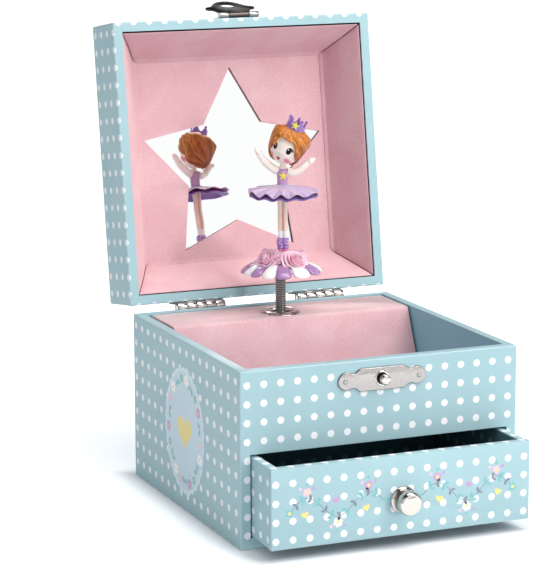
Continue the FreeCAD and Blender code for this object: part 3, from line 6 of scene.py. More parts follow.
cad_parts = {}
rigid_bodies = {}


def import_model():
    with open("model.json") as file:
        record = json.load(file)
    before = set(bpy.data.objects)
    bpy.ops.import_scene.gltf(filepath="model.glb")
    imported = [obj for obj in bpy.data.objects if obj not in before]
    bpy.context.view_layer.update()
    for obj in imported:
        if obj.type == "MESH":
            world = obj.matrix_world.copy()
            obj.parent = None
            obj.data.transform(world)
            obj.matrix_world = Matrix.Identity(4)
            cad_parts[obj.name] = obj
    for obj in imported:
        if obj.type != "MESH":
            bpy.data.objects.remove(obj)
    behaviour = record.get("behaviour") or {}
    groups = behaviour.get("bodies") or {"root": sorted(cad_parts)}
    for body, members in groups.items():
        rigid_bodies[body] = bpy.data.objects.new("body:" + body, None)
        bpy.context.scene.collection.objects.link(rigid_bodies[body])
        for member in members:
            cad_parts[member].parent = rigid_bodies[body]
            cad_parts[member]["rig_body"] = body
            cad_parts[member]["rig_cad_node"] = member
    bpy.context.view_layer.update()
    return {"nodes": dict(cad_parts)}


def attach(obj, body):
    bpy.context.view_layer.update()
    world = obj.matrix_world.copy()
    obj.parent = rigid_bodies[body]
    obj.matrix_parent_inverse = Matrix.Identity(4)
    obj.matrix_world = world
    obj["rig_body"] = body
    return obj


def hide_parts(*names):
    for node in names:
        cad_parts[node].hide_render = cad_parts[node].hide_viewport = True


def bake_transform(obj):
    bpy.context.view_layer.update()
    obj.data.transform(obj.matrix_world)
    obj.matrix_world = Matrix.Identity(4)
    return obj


# Wind-up music box: printed board case, lined lid with a star mirror, drawer and a turning doll.
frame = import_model()
nodes = frame["nodes"]
scene = bpy.context.scene
scene.view_settings.view_transform = "Standard"
mm = 0.001
plainWhite = (1, 1, 1, 1)
print("frame loaded:", len(nodes), "nodes")


# small helpers

def tint(code):
    # web colour to the linear values a socket takes
    parts = [int(code[i:i + 2], 16) / 255 for i in (0, 2, 4)]
    line = [c / 12.92 if c <= 0.04045 else ((c + 0.055) / 1.055) ** 2.4 for c in parts]
    return (*line, 1.0)


def clamp(value):
    return max(0.0, min(1.0, value))


def deselectAll():
    if bpy.context.object and bpy.context.object.mode != "OBJECT":
        bpy.ops.object.mode_set(mode="OBJECT")
    bpy.ops.object.select_all(action="DESELECT")


def paint(piece, *materials):
    piece.data.materials.clear()
    for material in materials:
        piece.data.materials.append(material)


# node helpers: a value is a socket to link or a plain number, colour or vector

def feed(tree, socket, value):
    if isinstance(value, bpy.types.NodeSocket):
        tree.links.new(value, socket)
    else:
        socket.default_value = value


def addNode(tree, kind, inputs=None, **settings):
    made = tree.nodes.new(kind)
    for key, value in settings.items():
        setattr(made, key, value)
    for key, value in (inputs or {}).items():
        feed(tree, made.inputs[key], value)
    return made


def calc(tree, operation, *values):
    return addNode(tree, "ShaderNodeMath", dict(enumerate(values)), operation=operation).outputs[0]


def vec(tree, operation, *values):
    made = addNode(tree, "ShaderNodeVectorMath", dict(enumerate(values)), operation=operation)
    return made.outputs["Value" if operation in ("LENGTH", "DOT_PRODUCT") else "Vector"]


def split(tree, vector):
    return addNode(tree, "ShaderNodeSeparateXYZ", {0: vector}).outputs


def noise(tree, place, scale, detail, distortion=0.0):
    inputs = {"Vector": place, "Scale": scale, "Detail": detail, "Distortion": distortion}
    return addNode(tree, "ShaderNodeTexNoise", inputs).outputs["Fac"]


def readMask(tree, attribute):
    return addNode(tree, "ShaderNodeAttribute", attribute_name=attribute).outputs["Fac"]


def ramp(tree, value, low, high, outLow=0.0, outHigh=1.0):
    inputs = {0: value, 1: low, 2: high, 3: outLow, 4: outHigh}
    return addNode(tree, "ShaderNodeMapRange", inputs, interpolation_type="SMOOTHSTEP").outputs[0]


def limit(tree, value):
    return calc(tree, "MINIMUM", calc(tree, "MAXIMUM", value, 0.0), 1.0)


def blendColour(tree, factor, a, b, mode="MIX"):
    made = addNode(tree, "ShaderNodeMix", data_type="RGBA", blend_type=mode)
    for key, value in (("Factor_Float", factor), ("A_Color", a), ("B_Color", b)):
        feed(tree, next(s for s in made.inputs if s.identifier == key), value)
    return next(s for s in made.outputs if s.identifier == "Result_Color")


def shadeBy(tree, colour, value):
    # a colour made lighter or darker by a value
    grey = addNode(tree, "ShaderNodeCombineColor", {0: value, 1: value, 2: value}).outputs[0]
    return blendColour(tree, 1.0, colour, grey, "MULTIPLY")


def newGroup(name, inputs, outputs):
    group = bpy.data.node_groups.new(name, "ShaderNodeTree")
    for label, kind, value in inputs:
        socket = group.interface.new_socket(label, in_out="INPUT", socket_type="NodeSocket" + kind)
        if value is not None:
            socket.default_value = value
    for label, kind in outputs:
        group.interface.new_socket(label, in_out="OUTPUT", socket_type="NodeSocket" + kind)
    ins = group.nodes.new("NodeGroupInput").outputs
    outs = group.nodes.new("NodeGroupOutput").inputs
    return group, ins, outs


def useGroup(tree, group, **values):
    made = addNode(tree, "ShaderNodeGroup", node_tree=group)
    for key, value in values.items():
        feed(tree, made.inputs[key.replace("_", " ")], value)
    return made.outputs


def newMaterial(name, colour, roughness, **sockets):
    material = bpy.data.materials.new(name)
    material.use_nodes = True
    tree = material.node_tree
    shader = tree.nodes["Principled BSDF"]
    shader.inputs["Base Color"].default_value = tint(colour)
    shader.inputs["Roughness"].default_value = roughness
    for key, value in sockets.items():
        shader.inputs[key.replace("_", " ")].default_value = value
    return material, tree, shader.inputs


def addBump(tree, sockets, height, strength, distance):
    bump = addNode(tree, "ShaderNodeBump", {"Height": height, "Strength": strength, "Distance": distance})
    tree.links.new(bump.outputs[0], sockets["Normal"])


def finishSurface(tree, sockets, skin, strength, distance):
    # joins a group's colour, roughness and height to the shader
    tree.links.new(skin["Colour"], sockets["Base Color"])
    tree.links.new(skin["Roughness"], sockets["Roughness"])
    addBump(tree, sockets, skin["Height"], strength, distance)


# camera at the photograph's angle
cameraSet = {
    "spot": (-0.43220, -0.97497, 0.30475),
    "azimuth": -22.647,
    "elevation": 10.962,
    "roll": -0.235,
    "lens": 154.77,
}


def placeCamera():
    az, el, roll = (math.radians(cameraSet[k]) for k in ("azimuth", "elevation", "roll"))
    back = Vector((math.sin(az) * math.cos(el), -math.cos(az) * math.cos(el), math.sin(el)))
    right = Vector((0, 0, 1)).cross(back).normalized()
    up = back.cross(right)
    sideways = right * math.cos(roll) + up * math.sin(roll)
    upward = up * math.cos(roll) - right * math.sin(roll)
    deselectAll()
    bpy.ops.object.camera_add(location=cameraSet["spot"])
    cam = bpy.context.object
    cam.name = "viewCamera"
    cam.rotation_euler = Matrix((sideways, upward, back)).transposed().to_euler()
    cam.data.lens = cameraSet["lens"]
    cam.data.sensor_width = 36
    cam.data.clip_start = 0.05
    scene.camera = cam


placeCamera()

# floor, lamps and the white surround, in metres
studio = {
    "aim": (0, 0, 0.09),
    "floorSize": 12.0,
    "floorColour": "F2F5F8",
    "floorGlow": 0.66,
    "glowColour": (0.96, 0.985, 1.0, 1.0),
    # footprint of the box and drawer: half width, half depth and how far it lies forward
    "footprint": (0.065, 0.0765, 0.011),
    # where the floor turns white, by distance from the footprint: from, to and share
    "glowSteps": ((-0.003, 0.013, 0.80), (0.012, 0.25, 0.20), (0.3, 2.0, 0.35)),
    "ambient": 0.43,
    "skyColour": (0.95, 0.975, 1.0, 1.0),
    "wallTop": (0.35, 0.75),
    "ceiling": 0.10,
    "brightWall": (0.377, -0.922, 0.083),
    "wallEdge": (0.72, 0.94),
    "otherWalls": 0.5,
    "key": {"spot": (0.80, -1.10, 1.20), "size": 0.75, "power": 10.4, "colour": (1.0, 0.98, 0.96)},
    "front": {"spot": (0.55, -1.45, 0.20), "size": 0.20, "power": 5.4, "colour": (1.0, 0.99, 0.98)},
    "top": {"spot": (0.25, -0.35, 1.50), "size": 1.0, "power": 13.0, "colour": (1.0, 0.985, 0.97)},
    "fill": {"spot": (-1.1, -1.0, 0.7), "size": 1.2, "power": 2.3, "colour": (0.93, 0.97, 1.0)},
}


def addLamp(name, spot, size, power, colour):
    deselectAll()
    bpy.ops.object.light_add(type="AREA", location=spot)
    lamp = bpy.context.object
    lamp.name = name
    lamp.data.size = size
    lamp.data.energy = power
    lamp.data.color = colour
    aim = Vector(spot) - Vector(studio["aim"])
    lamp.rotation_euler = aim.to_track_quat("Z", "Y").to_euler()
    return lamp


def seenRays(tree):
    # light path outputs, and a mask of the rays that show the surround itself
    path = tree.nodes.new("ShaderNodeLightPath").outputs
    seen = calc(tree, "MAXIMUM", path["Is Camera Ray"], path["Is Glossy Ray"])
    return path, calc(tree, "MAXIMUM", seen, path["Is Transmission Ray"])


def makeSurround():
    world = bpy.data.worlds.new("surround")
    scene.world = world
    world.use_nodes = True
    tree = world.node_tree
    background = tree.nodes["Background"].inputs
    path, seen = seenRays(tree)
    aim = tree.nodes.new("ShaderNodeTexCoord").outputs["Generated"]
    overhead = ramp(tree, split(tree, aim)[2], *studio["wallTop"], 1.0, studio["ceiling"])
    ahead = vec(tree, "DOT_PRODUCT", aim, studio["brightWall"])
    walls = ramp(tree, ahead, *studio["wallEdge"], studio["otherWalls"], 1.0)
    shown = calc(tree, "MAXIMUM", path["Is Camera Ray"], calc(tree, "MULTIPLY", overhead, walls))
    strength = addNode(tree, "ShaderNodeMix", {"Factor": seen, "A": studio["ambient"], "B": shown})
    tree.links.new(strength.outputs[0], background["Strength"])
    tree.links.new(blendColour(tree, seen, studio["skyColour"], plainWhite), background["Color"])


def makeFloor():
    deselectAll()
    bpy.ops.mesh.primitive_plane_add(size=studio["floorSize"], location=(0, 0, 0))
    floor = bpy.context.object
    floor.name = "studioFloor"
    material, tree, sockets = newMaterial("paleFloor", studio["floorColour"], 0.7)
    sockets["Emission Color"].default_value = studio["glowColour"]
    path, seen = seenRays(tree)
    at = split(tree, tree.nodes.new("ShaderNodeTexCoord").outputs["Object"])
    halfWidth, halfDepth, forward = studio["footprint"]
    aside = calc(tree, "SUBTRACT", calc(tree, "ABSOLUTE", at[0]), halfWidth)
    before = calc(tree, "SUBTRACT", calc(tree, "ABSOLUTE", calc(tree, "ADD", at[1], forward)), halfDepth)
    away = calc(tree, "MAXIMUM", aside, before)
    near, far, beyond = (ramp(tree, away, low, high, 0.0, share) for low, high, share in studio["glowSteps"])
    glow = calc(tree, "ADD", calc(tree, "ADD", near, far), beyond)
    glow = calc(tree, "MULTIPLY", glow, studio["floorGlow"])
    tree.links.new(calc(tree, "MULTIPLY", seen, glow), sockets["Emission Strength"])
    paint(floor, material)


lamps = {name: addLamp(name + "Lamp", **studio[name]) for name in ("key", "front", "top", "fill")}
lamps["front"].visible_glossy = False      # stays out of the mirror
makeSurround()
makeFloor()
print("camera, lamps and floor in place")


# shared shader effects

def makeDotGrid():
    # round dots on a square grid; Place holds the two directions along the sheet in X and Y
    group, ins, outs = newGroup(
        "dotGrid",
        [("Place", "Vector", None), ("Start", "Vector", (0, 0, 0)), ("Pitch", "Vector", (0.008, 0.008, 1)),
         ("Radius", "Float", 0.0016)],
        [("Mask", "Float")],
    )
    cell = vec(group, "DIVIDE", vec(group, "SUBTRACT", ins["Place"], ins["Start"]), ins["Pitch"])
    cell = vec(group, "FRACTION", vec(group, "ADD", cell, (0.5, 0.5, 0)))
    cell = vec(group, "SUBTRACT", cell, (0.5, 0.5, 0))
    offset = vec(group, "MULTIPLY", vec(group, "MULTIPLY", cell, ins["Pitch"]), (1, 1, 0))
    ragged = noise(group, ins["Place"], 1900.0, 2.0)
    wobble = calc(group, "MULTIPLY", calc(group, "SUBTRACT", ragged, 0.5), 0.00022)
    reach = calc(group, "SUBTRACT", ins["Radius"], calc(group, "ADD", vec(group, "LENGTH", offset), wobble))
    group.links.new(ramp(group, reach, -0.00006, 0.00006), outs["Mask"])
    return group


surfaceOutputs = [("Colour", "Color"), ("Roughness", "Float"), ("Height", "Float")]


def makePaperSkin():
    # coated paper on board: faint cloudiness and fibres, and a painted highlight on the rounded edges,
    # broken up by noise
    group, ins, outs = newGroup(
        "paperSkin",
        [("Place", "Vector", None), ("Facing", "Vector", None), ("Colour", "Color", plainWhite),
         ("Fold Colour", "Color", plainWhite), ("Fold Amount", "Float", 0.5), ("Roughness", "Float", 0.5)],
        surfaceOutputs,
    )
    cloud = noise(group, ins["Place"], 38.0, 4.0)
    fibre = noise(group, vec(group, "MULTIPLY", ins["Place"], (1.0, 0.35, 1.0)), 2600.0, 3.0)
    shade = calc(group, "ADD", ramp(group, cloud, 0.25, 0.75, 0.965, 1.02),
                 ramp(group, fibre, 0.3, 0.7, -0.018, 0.018))
    parts = split(group, vec(group, "ABSOLUTE", ins["Facing"]))
    flat = calc(group, "MAXIMUM", calc(group, "MAXIMUM", parts[0], parts[1]), parts[2])
    highlightBreakup = noise(group, ins["Place"], 420.0, 5.0)
    # painted highlight where the surface turns round an edge
    edge = calc(group, "MULTIPLY", ramp(group, flat, 0.80, 0.985, 1.0, 0.0), ins["Fold Amount"])
    fold = calc(group, "MULTIPLY", edge, ramp(group, highlightBreakup, 0.32, 0.62, 0.35, 1.0))
    folded = blendColour(group, fold, ins["Colour"], ins["Fold Colour"])
    group.links.new(shadeBy(group, folded, shade), outs["Colour"])
    rough = calc(group, "ADD", ins["Roughness"], ramp(group, cloud, 0.3, 0.7, -0.05, 0.07))
    group.links.new(rough, outs["Roughness"])
    group.links.new(fibre, outs["Height"])
    return group


def makeSuedeNap():
    # flocked lining: brushed patches, short pile and single lighter hairs
    group, ins, outs = newGroup(
        "suedeNap",
        [("Place", "Vector", None), ("Colour", "Color", plainWhite),
         ("Brushed Colour", "Color", plainWhite)],
        surfaceOutputs,
    )
    patch = noise(group, ins["Place"], 55.0, 5.0, 0.6)
    pile = noise(group, ins["Place"], 1500.0, 4.0)
    hair = noise(group, vec(group, "MULTIPLY", ins["Place"], (1.0, 0.25, 0.5)), 2400.0, 2.0)
    brushed = calc(group, "MULTIPLY", ramp(group, patch, 0.38, 0.68), 0.55)
    colour = blendColour(group, brushed, ins["Colour"], ins["Brushed Colour"])
    grain = calc(group, "ADD", ramp(group, pile, 0.28, 0.72, 0.90, 1.04),
                 ramp(group, hair, 0.55, 0.75, 0.0, 0.05))
    group.links.new(shadeBy(group, colour, grain), outs["Colour"])
    group.links.new(ramp(group, pile, 0.2, 0.8, 0.82, 0.98), outs["Roughness"])
    group.links.new(calc(group, "ADD", pile, calc(group, "MULTIPLY", hair, 0.6)), outs["Height"])
    return group


def makeMetalTone():
    # plated metal: cloudy polish and fine scratches
    group, ins, outs = newGroup(
        "metalTone",
        [("Place", "Vector", None), ("Roughness", "Float", 0.2), ("Spread", "Float", 0.1),
         ("Colour", "Color", plainWhite)],
        surfaceOutputs,
    )
    cloud = noise(group, ins["Place"], 160.0, 5.0)
    scratch = noise(group, vec(group, "MULTIPLY", ins["Place"], (0.12, 1.0, 1.0)), 2800.0, 3.0)
    rough = calc(group, "MULTIPLY", ramp(group, cloud, 0.3, 0.7, -0.5, 0.5), ins["Spread"])
    rough = calc(group, "ADD", ins["Roughness"], rough)
    rough = calc(group, "ADD", rough, ramp(group, scratch, 0.55, 0.75, 0.0, 0.06))
    group.links.new(calc(group, "MAXIMUM", rough, 0.04), outs["Roughness"])
    dull = ramp(group, cloud, 0.25, 0.75, 0.94, 1.0)
    group.links.new(shadeBy(group, ins["Colour"], dull), outs["Colour"])
    group.links.new(scratch, outs["Height"])
    return group


dotGrid = makeDotGrid()
paperSkin = makePaperSkin()
suedeNap = makeSuedeNap()
metalTone = makeMetalTone()

# printed paper with white dots; each grid is (first u, pitch u, first v, pitch v) in millimetres
paperSet = {
    "sky": "A4C5CC",
    # fold: colour of the painted highlight on the rounded edges
    "fold": "C0D6DC",
    "dot": "F3F4F8",
    "dotRadius": 1.58,
    "roughness": 0.46,
    "boxGrids": {"front": (-61.9, 7.66, 70.9, 8.1), "side": (61.9, 8.17, 72.0, 8.1)},
    "lidGrids": {
        "front": (-61.9, 7.66, 86.3, 8.1), "side": (-61.0, 8.1, 86.3, 8.4), "top": (-61.9, 7.66, 60.0, 8.1),
        "rimFront": (-62.35, 7.66, -65.6, 99.0), "rimBack": (-60.78, 7.66, 66.3, 99.0),
        "rimEnds": (-65.5, 99.0, -61.0, 8.1),
    },
    "drawerGrids": {
        "front": (-58.1, 7.70, 33.3, 8.1), "side": (-83.0, 8.1, 33.3, 8.1), "top": (-58.1, 7.70, -84.9, 8.1),
    },
    # the rim of the shut lid lies below this height, its front and back strips beyond this distance
    "rimHeight": 80.0,
    "rimStrip": 60.5,
    "turned": 0.69,      # a face bears the dots of the direction it looks in by this share
    "bareInShade": ("57534F", 78.0, 78.4),      # raw board behind the lining, painted darker than the board elsewhere as painted shade: colour and where it begins
    "lidTurn": 98.5,
    "lidPin": (68.4, 77.15),
}


def readPlace(tree, lid=False):
    # Object coordinates and normals, turned back to the shut lid for the pieces of the lid
    coords = tree.nodes.new("ShaderNodeTexCoord").outputs
    if not lid:
        return coords["Object"], coords["Normal"]
    turn = math.radians(paperSet["lidTurn"])
    y, z = (v * mm for v in paperSet["lidPin"])
    shift = (0, y - (y * math.cos(turn) - z * math.sin(turn)), z - (y * math.sin(turn) + z * math.cos(turn)))
    place = addNode(tree, "ShaderNodeMapping",
                    {"Vector": coords["Object"], "Rotation": (turn, 0, 0), "Location": shift})
    facing = addNode(tree, "ShaderNodeMapping", {"Vector": coords["Normal"], "Rotation": (turn, 0, 0)})
    return place.outputs[0], facing.outputs[0]


def dotsOn(tree, place, facing, grids):
    # one dot mask for the faces that look forward or back, sideways and up
    at = split(tree, place)
    look = split(tree, vec(tree, "ABSOLUTE", facing))
    pick = {"front": (at[0], at[2], look[1]), "side": (at[1], at[2], look[0]),
            "top": (at[0], at[1], look[2])}
    if "rimEnds" in grids:      # the rim has a row along each edge, the outer top the whole grid
        strip = paperSet["rimStrip"] * mm
        low = calc(tree, "MULTIPLY", look[2], calc(tree, "LESS_THAN", at[2], paperSet["rimHeight"] * mm))
        pick["top"] = (at[0], at[1], calc(tree, "SUBTRACT", look[2], low))
        for rim, depth, side, edge in (
            ("rimFront", at[1], "LESS_THAN", -strip),
            ("rimBack", at[1], "GREATER_THAN", strip),
            ("rimEnds", calc(tree, "ABSOLUTE", at[1]), "LESS_THAN", strip),
        ):
            pick[rim] = (at[0], at[1], calc(tree, "MULTIPLY", low, calc(tree, side, depth, edge)))
    total = None
    for face, (u0, du, v0, dv) in grids.items():
        u, v, turned = pick[face]
        sheet = addNode(tree, "ShaderNodeCombineXYZ", {0: u, 1: v}).outputs[0]
        dots = useGroup(tree, dotGrid, Place=sheet, Start=(u0 * mm, v0 * mm, 0), Pitch=(du * mm, dv * mm, 1),
                        Radius=paperSet["dotRadius"] * mm)["Mask"]
        dots = calc(tree, "MULTIPLY", dots, calc(tree, "GREATER_THAN", turned, paperSet["turned"]))
        total = dots if total is None else calc(tree, "MAXIMUM", total, dots)
    return total


def coverPaper(tree, sockets, place, facing, colour, highlightColour, highlightAmount, roughness, strength=0.10,
               distance=0.00004):
    # the highlight colour and amount paint a highlight on the rounded edges
    skin = useGroup(tree, paperSkin, Place=place, Facing=facing, Colour=colour, Fold_Colour=highlightColour,
                    Fold_Amount=highlightAmount, Roughness=roughness)
    finishSurface(tree, sockets, skin, strength, distance)


def newPrint(name, colour=paperSet["sky"]):
    return newMaterial(name, colour, paperSet["roughness"], Specular_IOR_Level=0.42)


def printedPaper(name, grids, lid=False):
    material, tree, sockets = newPrint(name)
    place, facing = readPlace(tree, lid)
    dots = dotsOn(tree, place, facing, grids)
    inked = blendColour(tree, dots, tint(paperSet["sky"]), tint(paperSet["dot"]))
    coverPaper(tree, sockets, place, facing, inked, tint(paperSet["fold"]), 0.75, paperSet["roughness"])
    return material


def plainPaper(name, colour, fold, roughness=0.55):
    # fold is the colour of the painted highlight on the rounded edges
    material, tree, sockets = newMaterial(name, colour, roughness, Specular_IOR_Level=0.35)
    place, facing = readPlace(tree)
    coverPaper(tree, sockets, place, facing, tint(colour), tint(fold), 0.4, roughness, 0.12, 0.00005)
    return material


boxPaper = printedPaper("boxPaper", paperSet["boxGrids"])
lidPaper = printedPaper("lidPaper", paperSet["lidGrids"], lid=True)
insidePaper = plainPaper("insidePaper", "88C0CE", "A0CED8")
lidInsidePaper = plainPaper("lidInsidePaper", paperSet["sky"], paperSet["fold"])
boardEdge = plainPaper("boardEdge", "A39C90", "B8B1A5", 0.8)

# drawer: dotted outside; inside, the same paper darkened as painted shade
drawerSet = {
    "halfWidth": 60.1,
    "front": -87.3,
    "back": 0.2,
    "board": 3.6,
    # the inside colours are the paper darkened as painted shade
    "inside": "4E6E77",
    "shadedInsideDot": "7C979E",
}


def makeDrawerPaper():
    material, tree, sockets = newPrint("drawerPaper")
    place, facing = readPlace(tree)
    dots = dotsOn(tree, place, facing, paperSet["drawerGrids"])
    at = split(tree, place)
    wall = drawerSet["board"] - 0.15      # a hair within the board
    inner = calc(tree, "LESS_THAN", calc(tree, "ABSOLUTE", at[0]), (drawerSet["halfWidth"] - wall) * mm)
    for side, edge in (("GREATER_THAN", drawerSet["front"] + wall), ("LESS_THAN", drawerSet["back"] - wall)):
        inner = calc(tree, "MULTIPLY", inner, calc(tree, side, at[1], edge * mm))
    outside = blendColour(tree, dots, tint(paperSet["sky"]), tint(paperSet["dot"]))
    # painted shade: the dotted paper inside the drawer is darkened
    within = blendColour(tree, dots, tint(drawerSet["inside"]), tint(drawerSet["shadedInsideDot"]))
    inked = blendColour(tree, inner, outside, within)
    coverPaper(tree, sockets, place, facing, inked, tint(paperSet["fold"]), 0.6, paperSet["roughness"])
    return material


drawerPaper = makeDrawerPaper()

# suede-like lining
liningSet = {
    "roughness": 0.9,
    "sheenTint": "F8E6E4",
    "core": ("2A2728", 99.4, 99.6),      # near-black cut edge of the star's card, as painted shade: colour and where it begins
    # colour, brushed colour and sheen of the lining in each place; deep is a darker copy as painted shade,
    # pale a paler copy as painted light
    "panel": ("E0B3B9", "E8C4C8", 0.60),
    "deep": ("D2A4AC", "DAB8BD", 0.45),
    "pale": ("E4BDC1", "EDD0D2", 1.0),
}


def makeSuede(name, colour, brushed, sheen):
    material, tree, sockets = newMaterial(name, colour, liningSet["roughness"], Specular_IOR_Level=0.15,
                                          Sheen_Weight=sheen, Sheen_Roughness=0.45,
                                          Sheen_Tint=tint(liningSet["sheenTint"]))
    place = readPlace(tree)[0]
    nap = useGroup(tree, suedeNap, Place=place, Colour=tint(colour), Brushed_Colour=tint(brushed))
    finishSurface(tree, sockets, nap, 0.35, 0.00012)
    return material


pinkSuede = makeSuede("pinkSuede", *liningSet["panel"])
shadedSuede = makeSuede("shadedSuede", *liningSet["deep"])
litTopSuede = makeSuede("litTopSuede", *liningSet["pale"])


# metals and the mirror
def finishMetal(tree, sockets, colour, roughness, spread, bump, dull=None):
    # dull is what a mask adds to the roughness
    tone = useGroup(tree, metalTone, Place=readPlace(tree)[0], Roughness=roughness, Spread=spread,
                    Colour=colour)
    rough = tone["Roughness"] if dull is None else calc(tree, "ADD", tone["Roughness"], dull)
    plated = {"Colour": tone["Colour"], "Roughness": rough, "Height": tone["Height"]}
    finishSurface(tree, sockets, plated, bump, 0.00003)


def makeMetal(name, colour, roughness, spread, bump=0.05):
    material, tree, sockets = newMaterial(name, colour, roughness, Metallic=1.0)
    finishMetal(tree, sockets, tint(colour), roughness, spread, bump)
    return material


polishedNickel = makeMetal("polishedNickel", "CFC8C1", 0.09, 0.05, 0.02)
satinNickel = makeMetal("satinNickel", "ACAAA9", 0.26, 0.12)
springSteel = makeMetal("springSteel", "8E8A86", 0.24, 0.12)
gearBrass = makeMetal("gearBrass", "C9A45C", 0.28, 0.12)
plainSteel = makeMetal("plainSteel", "A9AAAC", 0.34, 0.14)


def makeMirror():
    material, tree, sockets = newMaterial("mirrorSilver", "FCFDFD", 0.015, Metallic=1.0)
    haze = noise(tree, readPlace(tree)[0], 60.0, 3.0)
    tree.links.new(ramp(tree, haze, 0.3, 0.8, 0.004, 0.03), sockets["Roughness"])
    return material


# finishes of the CAD nodes that keep their own shape; the star panel and lid walls follow with the lining
finishes = [
    (boardEdge, ("base_board", "bay_partition", "stage_battens")),
    (insidePaper, ("left_wall", "right_wall", "back_wall", "front_board", "drawer_shelf")),
    (pinkSuede, ("floor_liner",)),
    (boxPaper, ("box_wrap",)),
    (lidInsidePaper, ("lid_top_board",)),
    (lidPaper, ("lid_wrap",)),
    (makeMirror(), ("lid_mirror",)),
    (drawerPaper, ("drawer_bottom",)),
    (polishedNickel, ("hinge_pins", "box_hinge_screws", "lid_hinge_screws", "hasp_pin")),
    (satinNickel, ("hasp_nails",)),
    (gearBrass, ("movement_bedplate", "spindle_bridge", "spring_drum", "pin_cylinder")),
    (springSteel, ("mainspring",)),
    (plainSteel, ("movement_screws", "tone_comb", "comb_screws", "knob_screw", "winding_arbor",
                  "governor_fly", "spindle")),
]
for material, names in finishes:
    for name in names:
        paint(nodes[name], material)
print("finishes on", sum(len(names) for material, names in finishes), "nodes")


# modelling helpers

def namePiece(name):
    piece = bpy.context.object
    piece.name = name
    piece.data.name = name
    return piece


def onlySelect(*pieces):
    deselectAll()
    for piece in pieces:
        piece.select_set(True)
    bpy.context.view_layer.objects.active = pieces[0]


def settle(piece):
    onlySelect(piece)
    bpy.ops.object.transform_apply(location=True, rotation=True, scale=True)


def putAt(piece, spot, turn=(0, 0, 0)):
    # moves a piece to its spot in millimetres, turned in radians
    piece.location = Vector(spot) * mm
    piece.rotation_euler = turn
    settle(piece)
    return piece


def useModifier(piece, kind, **settings):
    onlySelect(piece)
    made = piece.modifiers.new(kind.lower(), kind)
    for key, value in settings.items():
        setattr(made, key, value)
    bpy.ops.object.modifier_apply(modifier=made.name)


def roundOff(piece, levels=1):
    useModifier(piece, "SUBSURF", levels=levels, render_levels=levels)


def softenEdges(piece, width, segments, angle):
    useModifier(piece, "BEVEL", width=width * mm, segments=segments, limit_method="ANGLE",
                angle_limit=math.radians(angle))


def makeThick(piece, thick, offset):
    useModifier(piece, "SOLIDIFY", thickness=thick * mm, offset=offset)


def smoothShade(piece, angle=60):
    onlySelect(piece)
    bpy.ops.object.shade_smooth_by_angle(angle=math.radians(angle))


def openMesh(piece):
    # edit mode with the whole mesh selected
    onlySelect(piece)
    bpy.ops.object.mode_set(mode="EDIT")
    bpy.ops.mesh.select_all(action="SELECT")


def closeMesh():
    bpy.ops.object.mode_set(mode="OBJECT")


def faceOutwards(piece):
    openMesh(piece)
    bpy.ops.mesh.normals_make_consistent(inside=False)
    closeMesh()


def closeUp(piece):
    # merges doubles and turns the faces outwards
    openMesh(piece)
    bpy.ops.mesh.remove_doubles(threshold=0.000002)
    closeMesh()
    faceOutwards(piece)


def pullForward(piece, thick):
    # gives a flat shape in the XZ plane its thickness towards -Y
    openMesh(piece)
    bpy.ops.mesh.extrude_region_move(TRANSFORM_OT_translate={"value": (0, -thick * mm, 0)})
    closeMesh()
    closeUp(piece)


def storeLayer(piece, attribute, values, kind="FLOAT"):
    # one value or vector for each point of the mesh
    layer = piece.data.attributes.new(attribute, kind, "POINT")
    key = "value" if kind == "FLOAT" else "vector"
    for item, value in zip(layer.data, values):
        setattr(item, key, value)


def paintMask(piece, attribute, formula):
    # stores formula(x, y, z) in millimetres on each point, for the shaded finishes
    storeLayer(piece, attribute, [formula(*(point.co / mm)) for point in piece.data.vertices])


def spinProfile(name, profile, steps=48, **masks):
    # profile is (radius, height) in millimetres; drawn point by point, then spun about Z
    deselectAll()
    bpy.ops.mesh.primitive_plane_add(size=0.001, location=(0, 0, 0))
    piece = namePiece(name)
    bpy.ops.object.mode_set(mode="EDIT")
    bpy.ops.mesh.merge(type="CENTER")
    bpy.ops.transform.translate(value=(profile[0][0] * mm, 0, profile[0][1] * mm))
    for (r0, z0), (r1, z1) in zip(profile, profile[1:]):
        step = ((r1 - r0) * mm, 0, (z1 - z0) * mm)
        bpy.ops.mesh.extrude_vertices_move(TRANSFORM_OT_translate={"value": step})
    bpy.ops.mesh.select_all(action="SELECT")
    bpy.ops.mesh.spin(steps=steps, angle=2 * math.pi, center=(0, 0, 0), axis=(0, 0, 1))
    closeMesh()
    closeUp(piece)
    for attribute, value in masks.items():
        storeLayer(piece, attribute, [value] * len(piece.data.vertices))
    return piece


def addSphere(name, radius, segments, rings):
    deselectAll()
    bpy.ops.mesh.primitive_uv_sphere_add(segments=segments, ring_count=rings, radius=radius * mm,
                                         location=(0, 0, 0))
    return namePiece(name)


def drawRing(name, outline, fill="NOTHING"):
    # a ring of points (x, z) in the XZ plane, in millimetres
    deselectAll()
    bpy.ops.mesh.primitive_circle_add(vertices=len(outline), radius=mm, fill_type=fill, location=(0, 0, 0))
    piece = namePiece(name)
    for point, (x, z) in zip(piece.data.vertices, outline):
        point.co = (x * mm, 0, z * mm)
    return piece


def plateFrom(name, outline, thick):
    # a flat plate in the XZ plane facing -Y with its back at y = 0, from its outline in millimetres
    piece = drawRing(name, outline, "NGON")
    pullForward(piece, thick)
    return piece


def tubeAlong(name, points, radii, sides=4):
    # a tapering tube through the points, in millimetres, from a bezier curve
    deselectAll()
    bpy.ops.curve.primitive_bezier_curve_add(location=(0, 0, 0))
    piece = namePiece(name)
    spline = piece.data.splines[0]
    spline.bezier_points.add(len(points) - 2)
    for knot, spot, radius in zip(spline.bezier_points, points, radii):
        knot.co = Vector(spot) * mm
        knot.radius = radius
        knot.handle_left_type = "AUTO"
        knot.handle_right_type = "AUTO"
    piece.data.resolution_u = 6
    piece.data.bevel_depth = mm
    piece.data.bevel_resolution = sides
    piece.data.use_fill_caps = True
    onlySelect(piece)
    bpy.ops.object.convert(target="MESH")
    return namePiece(name)


